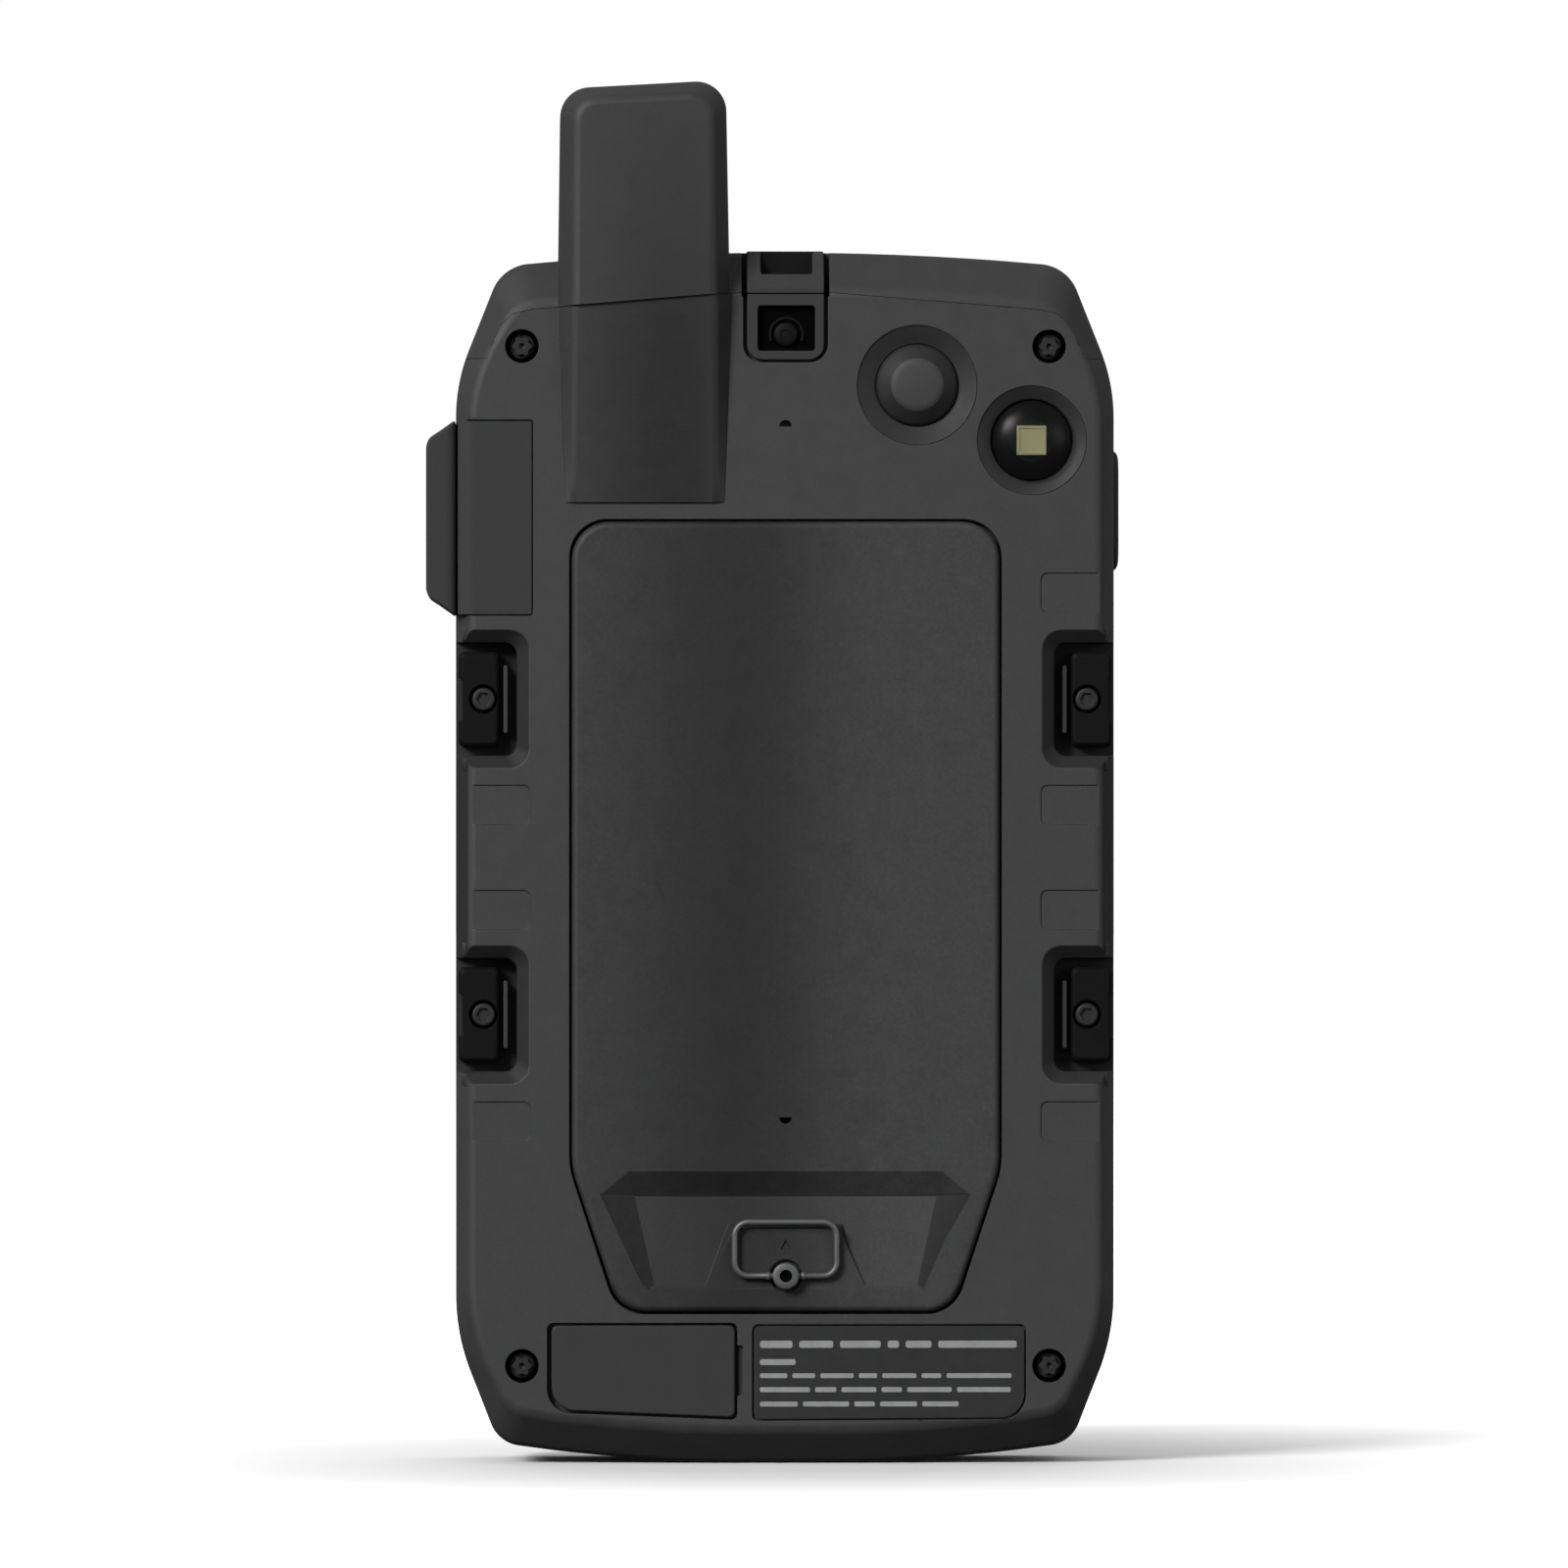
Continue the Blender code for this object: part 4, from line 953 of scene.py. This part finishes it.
def make_sos_cover():
    cover = mesh_object("sos_cover_moulding", [prism([
        (-43.70, 138.3), (-45.8, 136.8), (-47.2, 135.9), (-47.6, 134.9),
        (-47.6, 115.7), (-47.2, 114.7), (-45.8, 113.8), (-43.70, 112.3),
    ], -12.2, 5.2)])
    slope = [(-44.4, -12.7), (-44.4, -12.2), (-43.6, -11.5), (-43.0, -11.5), (-43.0, -12.7)]
    cut(cover, prism(slope, 110.0, 142.0, "Z"))
    ease(cover, 0.45, 4, 20.0)
    cut(cover, box((-46.3, -42.0), (-9.0, 3.0), (118.0, 132.6)))
    grip_ribs = (120.5, 122.9, 125.3, 127.7, 130.1)
    join(cover, *[box((-47.72 + 0.25, -47.0), (-8.5, 1.5), (z - 0.35, z + 0.35)) for z in grip_ribs])
    ease(cover, 0.12, 2, 40.0)
    place(cover, "sos_cover", "rubber", "sos_cover")
    strap = mesh_object("sos_cover_strap_moulding", [
        prism([
            (-43.4, -10.4), (-43.4, -11.5), (-43.1, -11.8), (-42.0, -12.35), (-41.3, REAR_Y), (-33.6, REAR_Y),
            (-33.6, -11.5), (-41.9, -11.5), (-42.3, -10.4),
        ], 112.5, 138.1, "Z"),
    ])
    ease(strap, 0.08, 2)
    place(strap, "case", "rubber", "sos_cover_strap")


def make_usb():
    cap = mesh_object("usb_cap_moulding", [loft([
        (REAR_Y, usb_outline(-0.25, -30.75)),
        (REAR_Y + 0.12, usb_outline(-0.06, -30.94)),
        (REAR_Y + 0.35, usb_outline(0.0, -31.0)),
        (REAR_Y + 0.8, usb_outline(0.0, -31.0)),
        (REAR_Y + 1.1, usb_outline(-0.1, -30.6)),
    ])])
    join(cap, box((-23.6, -14.4), (-11.7, -10.6), (10.6, 14.4)))
    ease(cap, 0.1, 2, 40.0)
    place(cap, "usb_cap", "rubber", "usb_cap")
    plate = mesh_object("label_plate_film", [prism(label_outline(0.0), REAR_Y + 0.02, REAR_Y + 0.3)])
    ease(plate, 0.05, 2)
    place(plate, "case", "label_film", "label_plate")


def make_label_print():
    """Plain bars where the label has its print."""
    rows = [  # height of the row's middle, bar thickness, bars as (start, end)
        (15.9, 0.95, [(-3.4, 0.9), (1.8, 6.3), (7.2, 12.6), (13.5, 15.0), (15.9, 19.3), (20.2, 30.6)]),
        (13.55, 0.78, [(-3.4, 1.3)]),
        (11.75, 0.62, [
            (-3.4, 0.2), (0.9, 3.9), (4.6, 9.0), (9.7, 12.1), (12.8, 17.3), (18.0, 20.6), (21.3, 29.9),
        ]),
        (9.9, 0.66, [(-3.4, 3.2), (3.9, 6.7), (7.4, 12.0), (12.7, 15.4), (16.1, 22.0), (22.7, 29.8)]),
        (8.0, 0.66, [(-3.4, 1.6), (2.3, 8.4), (9.1, 11.8), (12.5, 17.4), (18.1, 22.9)]),
    ]
    solids = []
    for z, thick, bars in rows:
        for start, end in bars:
            outline = rounded_rect((start, end), (z - thick / 2, z + thick / 2), thick * 0.3, 3)
            solids.append(prism(outline, REAR_Y - 0.005, REAR_Y + 0.1))
    bars = mesh_object("label_print_bars", solids)
    bars.data.materials.append(MATERIALS["label_print"])
    bars.data.shade_flat()
    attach(bars, "case")


def make_antenna_port():
    wide = PORT_HALF
    cap = mesh_object("antenna_port_cap_moulding", [prism([
        (-12.78, 155.0), (-12.78, 155.9), (-8.4, 160.6), (-6.5, 160.8), (-6.5, 155.0),
    ], -wide + 0.2, wide - 0.2, "X")])
    ease(cap, 0.18, 3, 20.0)
    cut(cap, prism(rounded_rect((-3.3, 3.6), (157.6, 164.0), 0.3, 3), -14.0, -8.2))
    ease(cap, 0.1, 2, 40.0)
    place(cap, "antenna_port_cap", "rubber", "antenna_port_cap")
    # The window's floor gets black: painted shade at the bottom of the window.
    refinish(cap, "black_plastic", lambda x, y, z: abs(x) < 3.7 and z > 157.5 and -8.5 < y < -8.1)
    anchor = mesh_object("port_cap_anchor_moulding", [prism(rounded([
        (-wide + 0.2, 146.2, 2.0, 8), (wide - 0.2, 146.2, 2.0, 8), (wide - 0.2, 154.9, 0, 0),
        (-wide + 0.2, 154.9, 0, 0),
    ]), REAR_Y - 0.3, -11.5)])
    ease(anchor, 0.18, 3)
    cut(anchor, prism(rounded_rect((-3.7, 3.9), (147.4, 153.4), 0.4, 4), -14.0, -11.0))
    liner_outline = rounded_rect((-3.65, 3.85), (147.45, 153.35), 0.35, 4)
    liner = mesh_object("port_cap_anchor_liner", [prism(liner_outline, -11.75, -11.3)])
    arch_outer = []
    arch_inner = []
    for i in range(33):
        turn = math.radians(-25 + 230 * i / 32)
        arch_outer.append((0.1 + 2.35 * math.cos(turn), 149.6 + 2.35 * math.sin(turn)))
        arch_inner.append((0.1 + 2.0 * math.cos(turn), 149.6 + 2.0 * math.sin(turn)))
    join(liner, prism(arch_outer + list(reversed(arch_inner)), -12.1, -11.6))
    cut(liner, cylinder(1.0, -14.0, -10.0, (0.0, 149.6), steps=24))
    ease(liner, 0.06, 2, 40.0)
    place(liner, "case", "black_plastic")
    # The liner's faces down in the window get near-black: painted shadow.
    refinish(liner, "painted_shadow_black", lambda x, y, z: y > -11.9)
    ease(anchor, 0.08, 2, 40.0)
    place(anchor, "case", "rubber", "port_cap_anchor")
    screw = mesh_object("port_cap_screw_turned", [turned([
        (0, -12.5), (0.55, -12.5), (0.62, -12.6), (1.25, -12.6), (1.5, -12.45), (1.5, -12.0), (0.7, -12.0),
        (0.7, -10.6), (0, -10.6),
    ], (0.0, 149.6), steps=40)])
    place(screw, "case", "black_plastic", "port_cap_screw")


# ---- Torch and camera position ----

def make_torch():
    dome = [
        (0.0, -14.0), (2.6, -13.97), (3.1, -13.88), (3.5, -13.7), (4.95, -12.55), (5.2, -12.3), (5.36, -12.0),
        (5.42, -11.55), (0, -11.55),
    ]
    blank = mesh_object("camera_blank_moulding", [turned(dome, CAMERA_SPOT, steps=96)])
    place(blank, "case", "housing_plastic", "camera_blank")
    # The dome's slopes get a darker colour: painted shade.
    refinish(blank, "dish_painted_shade", lambda x, y, z: y > -13.75)
    lens_radius = 5.2
    sweep = math.radians(74)
    profile = [(0.0, -14.6)]
    for i in range(1, 15):
        turn = sweep * i / 14
        radius = lens_radius * math.sin(turn) / math.sin(sweep)
        profile.append((radius, -14.6 + 2.3 * (1 - math.cos(turn))))
    profile += [(lens_radius, -11.75), (0, -11.75)]
    lens = mesh_object("torch_lens_moulding", [turned(profile, TORCH_SPOT, steps=96)])
    place(lens, "case", "clear_lens", "torch_lens")
    x, z = TORCH_SPOT
    led = mesh_object("torch_led_package", [box((x - 1.95, x + 1.95), (-11.5, -10.2), (z - 1.95, z + 1.95))])
    cut(led, box((x - 1.55, x + 1.55), (-12.0, -11.35), (z - 1.55, z + 1.55)))
    ease(led, 0.08, 2)
    place(led, "case", "led_phosphor", "torch_led")


# ---- Display, battery and the pieces that stay as they are ----

def make_display():
    glass = mesh_object("screen_glass_pane", [loft([
        (14.2, rounded_rect((-35.5, 35.5), (22.0, 146.0), 5.7, 12)),
        (15.1, rounded_rect((-35.5, 35.5), (22.0, 146.0), 5.7, 12)),
        (15.32, rounded_rect((-35.4, 35.4), (22.1, 145.9), 5.6, 12)),
        (15.4, rounded_rect((-35.15, 35.15), (22.35, 145.65), 5.35, 12)),
    ])])
    place(glass, "case", "screen_glass", "screen_glass")


def make_battery():
    pack = mesh_object("battery_pack_wrapped", [loft([
        (-10.1, rounded_rect((-24.4, 24.4), (45.4, 117.9), 2.0)),
        (-9.3, rounded_rect((-25.1, 25.1), (44.6, 118.7), 2.6)),
        (-3.4, rounded_rect((-25.1, 25.1), (44.6, 118.7), 2.6)),
        (-2.6, rounded_rect((-24.4, 24.4), (45.4, 117.9), 2.0)),
    ])])
    cut(pack, *[box((x - 1.2, x + 1.2), (-8.6, -5.4), (118.4, 120.0)) for x in (-7.5, -2.5, 2.5, 7.5)])
    cut(pack, prism(rounded_rect((-9.0, 9.0), (47.5, 50.2), 1.2), -11.0, -9.9))
    ease(pack, 0.3, 3, 24.0)
    place(pack, "case", "battery_wrap", "battery_pack")


def finish_kept_nodes():
    """The CAD nodes that stay get eased edges and their slot's material."""
    slots = {part["node"]: part["material_slot"] for part in frame["record"]["subparts"]}
    for name, obj in frame["nodes"].items():
        if obj.hide_render:
            continue
        slot = slots[name]
        obj.data.materials.clear()
        obj.data.materials.append(MATERIALS[slot])
        weld = obj.modifiers.new("weld", "WELD")
        weld.merge_threshold = 0.004 * MM
        bevel = obj.modifiers.new("edges", "BEVEL")
        bevel.width = 0.12 * MM
        bevel.segments = 2
        bevel.limit_method = "ANGLE"
        bevel.angle_limit = math.radians(40)


# ---- Floor, lights and camera ----

def plain(name, colour, glow):
    made = bpy.data.materials.new(name)
    made.use_nodes = True
    shader = made.node_tree.nodes["Principled BSDF"]
    shader.inputs["Base Color"].default_value = colour
    shader.inputs["Roughness"].default_value = 0.9
    shader.inputs["Specular IOR Level"].default_value = 0.0
    shader.inputs["Emission Color"].default_value = (1.0, 1.0, 1.0, 1.0)
    shader.inputs["Emission Strength"].default_value = glow
    return made


def floor_painted_glow(material):
    """The floor glows white with the distance from the middle: painted light, which leaves the floor round
    the base darker.
    """
    tree = material.node_tree
    shader = tree.nodes["Principled BSDF"]
    way = tree.nodes.new("ShaderNodeTexCoord")
    length = tree.nodes.new("ShaderNodeVectorMath")
    length.operation = "LENGTH"
    rise = tree.nodes.new("ShaderNodeMapRange")
    rise.interpolation_type = "SMOOTHSTEP"
    rise.inputs["From Min"].default_value = 0.03
    rise.inputs["From Max"].default_value = 0.24
    tree.links.new(way.outputs["Object"], length.inputs[0])
    tree.links.new(length.outputs["Value"], rise.inputs["Value"])
    tree.links.new(rise.outputs["Result"], shader.inputs["Emission Strength"])


def make_stage():
    shape = bmesh.new()
    bmesh.ops.create_circle(shape, cap_ends=True, segments=96, radius=7.0)
    mesh = bpy.data.meshes.new("floor")
    shape.to_mesh(mesh)
    shape.free()
    floor = bpy.data.objects.new("floor", mesh)
    floor.data.materials.append(plain("floor", (0.76, 0.76, 0.76, 1.0), 0.0))
    floor_painted_glow(floor.data.materials[0])
    shape = bmesh.new()
    bmesh.ops.create_uvsphere(shape, u_segments=48, v_segments=24, radius=8.0)
    mesh = bpy.data.meshes.new("backdrop")
    shape.to_mesh(mesh)
    shape.free()
    backdrop = bpy.data.objects.new("backdrop", mesh)
    backdrop.data.materials.append(plain("backdrop", (0.0, 0.0, 0.0, 1.0), 1.02))
    backdrop.visible_shadow = False
    for obj in (floor, backdrop):
        obj.visible_diffuse = False
        obj.visible_glossy = False
        obj.visible_transmission = False
        bpy.context.scene.collection.objects.link(obj)


def area_light(name, place_at, target, size, watts):
    data = bpy.data.lights.new(name, "AREA")
    data.shape = "RECTANGLE"
    data.size, data.size_y = size
    data.energy = watts
    lamp = bpy.data.objects.new(name, data)
    lamp.location = place_at
    lamp.rotation_euler = (Vector(target) - Vector(place_at)).to_track_quat("-Z", "Y").to_euler()
    bpy.context.scene.collection.objects.link(lamp)
    return lamp


def make_lights():
    world = bpy.data.worlds.new("studio")
    bpy.context.scene.world = world
    world.use_nodes = True
    tree = world.node_tree
    shade = tree.nodes["Background"]
    way = tree.nodes.new("ShaderNodeTexCoord")
    split = tree.nodes.new("ShaderNodeSeparateXYZ")
    ramp = tree.nodes.new("ShaderNodeValToRGB")
    ramp.color_ramp.elements[0].position = 0.42
    ramp.color_ramp.elements[0].color = (0.06, 0.06, 0.06, 1.0)
    ramp.color_ramp.elements[1].position = 0.56
    ramp.color_ramp.elements[1].color = (0.35, 0.35, 0.35, 1.0)
    rise = tree.nodes.new("ShaderNodeMapRange")
    rise.inputs["From Min"].default_value = -1.0
    rise.inputs["From Max"].default_value = 1.0
    tree.links.new(way.outputs["Generated"], split.inputs["Vector"])
    tree.links.new(split.outputs["Z"], rise.inputs["Value"])
    tree.links.new(rise.outputs["Result"], ramp.inputs["Fac"])
    tree.links.new(ramp.outputs["Color"], shade.inputs["Color"])
    shade.inputs["Strength"].default_value = 1.0
    area_light("key", (-1.5, -1.9, 1.3), (0.0, 0.0, 0.09), (0.9, 0.9), 86.0)
    area_light("fill", (1.6, -1.6, 0.4), (0.0, 0.0, 0.09), (1.0, 1.0), 10.0)
    back = area_light("back", (0.0, 1.3, 1.6), (0.0, 0.0, 0.0), (2.5, 2.5), 22.0)
    back.visible_glossy = False


def make_camera():
    data = bpy.data.cameras.new("camera")
    data.sensor_width = 36.0
    distance = 2.0
    picture_width = 0.20885
    height = 0.09007
    turn = math.radians(1.0)
    data.lens = data.sensor_width * distance / picture_width
    camera = bpy.data.objects.new("camera", data)
    camera.location = (-distance * math.sin(turn), -distance * math.cos(turn), height)
    camera.rotation_euler = (math.pi / 2, 0.0, -turn)
    bpy.context.scene.collection.objects.link(camera)
    bpy.context.scene.camera = camera


make_rear_housing()
make_top_cap()
make_front_housing()
make_battery_door()
make_seal()
make_latch()
make_case_screws()
make_pocket_inserts()
make_pocket_ribs()
make_button("sos_button", "sos_button", -1, SOS_Y, SOS_Z, 3.9, 3.9, 3.8, "black_plastic")
make_button("power_button", "power_button", 1, POWER_Y, POWER_Z, 3.4, 7.9, 3.3, "rubber")
make_sos_cover()
make_usb()
make_label_print()
make_antenna_port()
make_torch()
make_display()
make_battery()
finish_kept_nodes()
make_stage()
make_lights()
make_camera()
bpy.context.scene.view_settings.view_transform = "Standard"
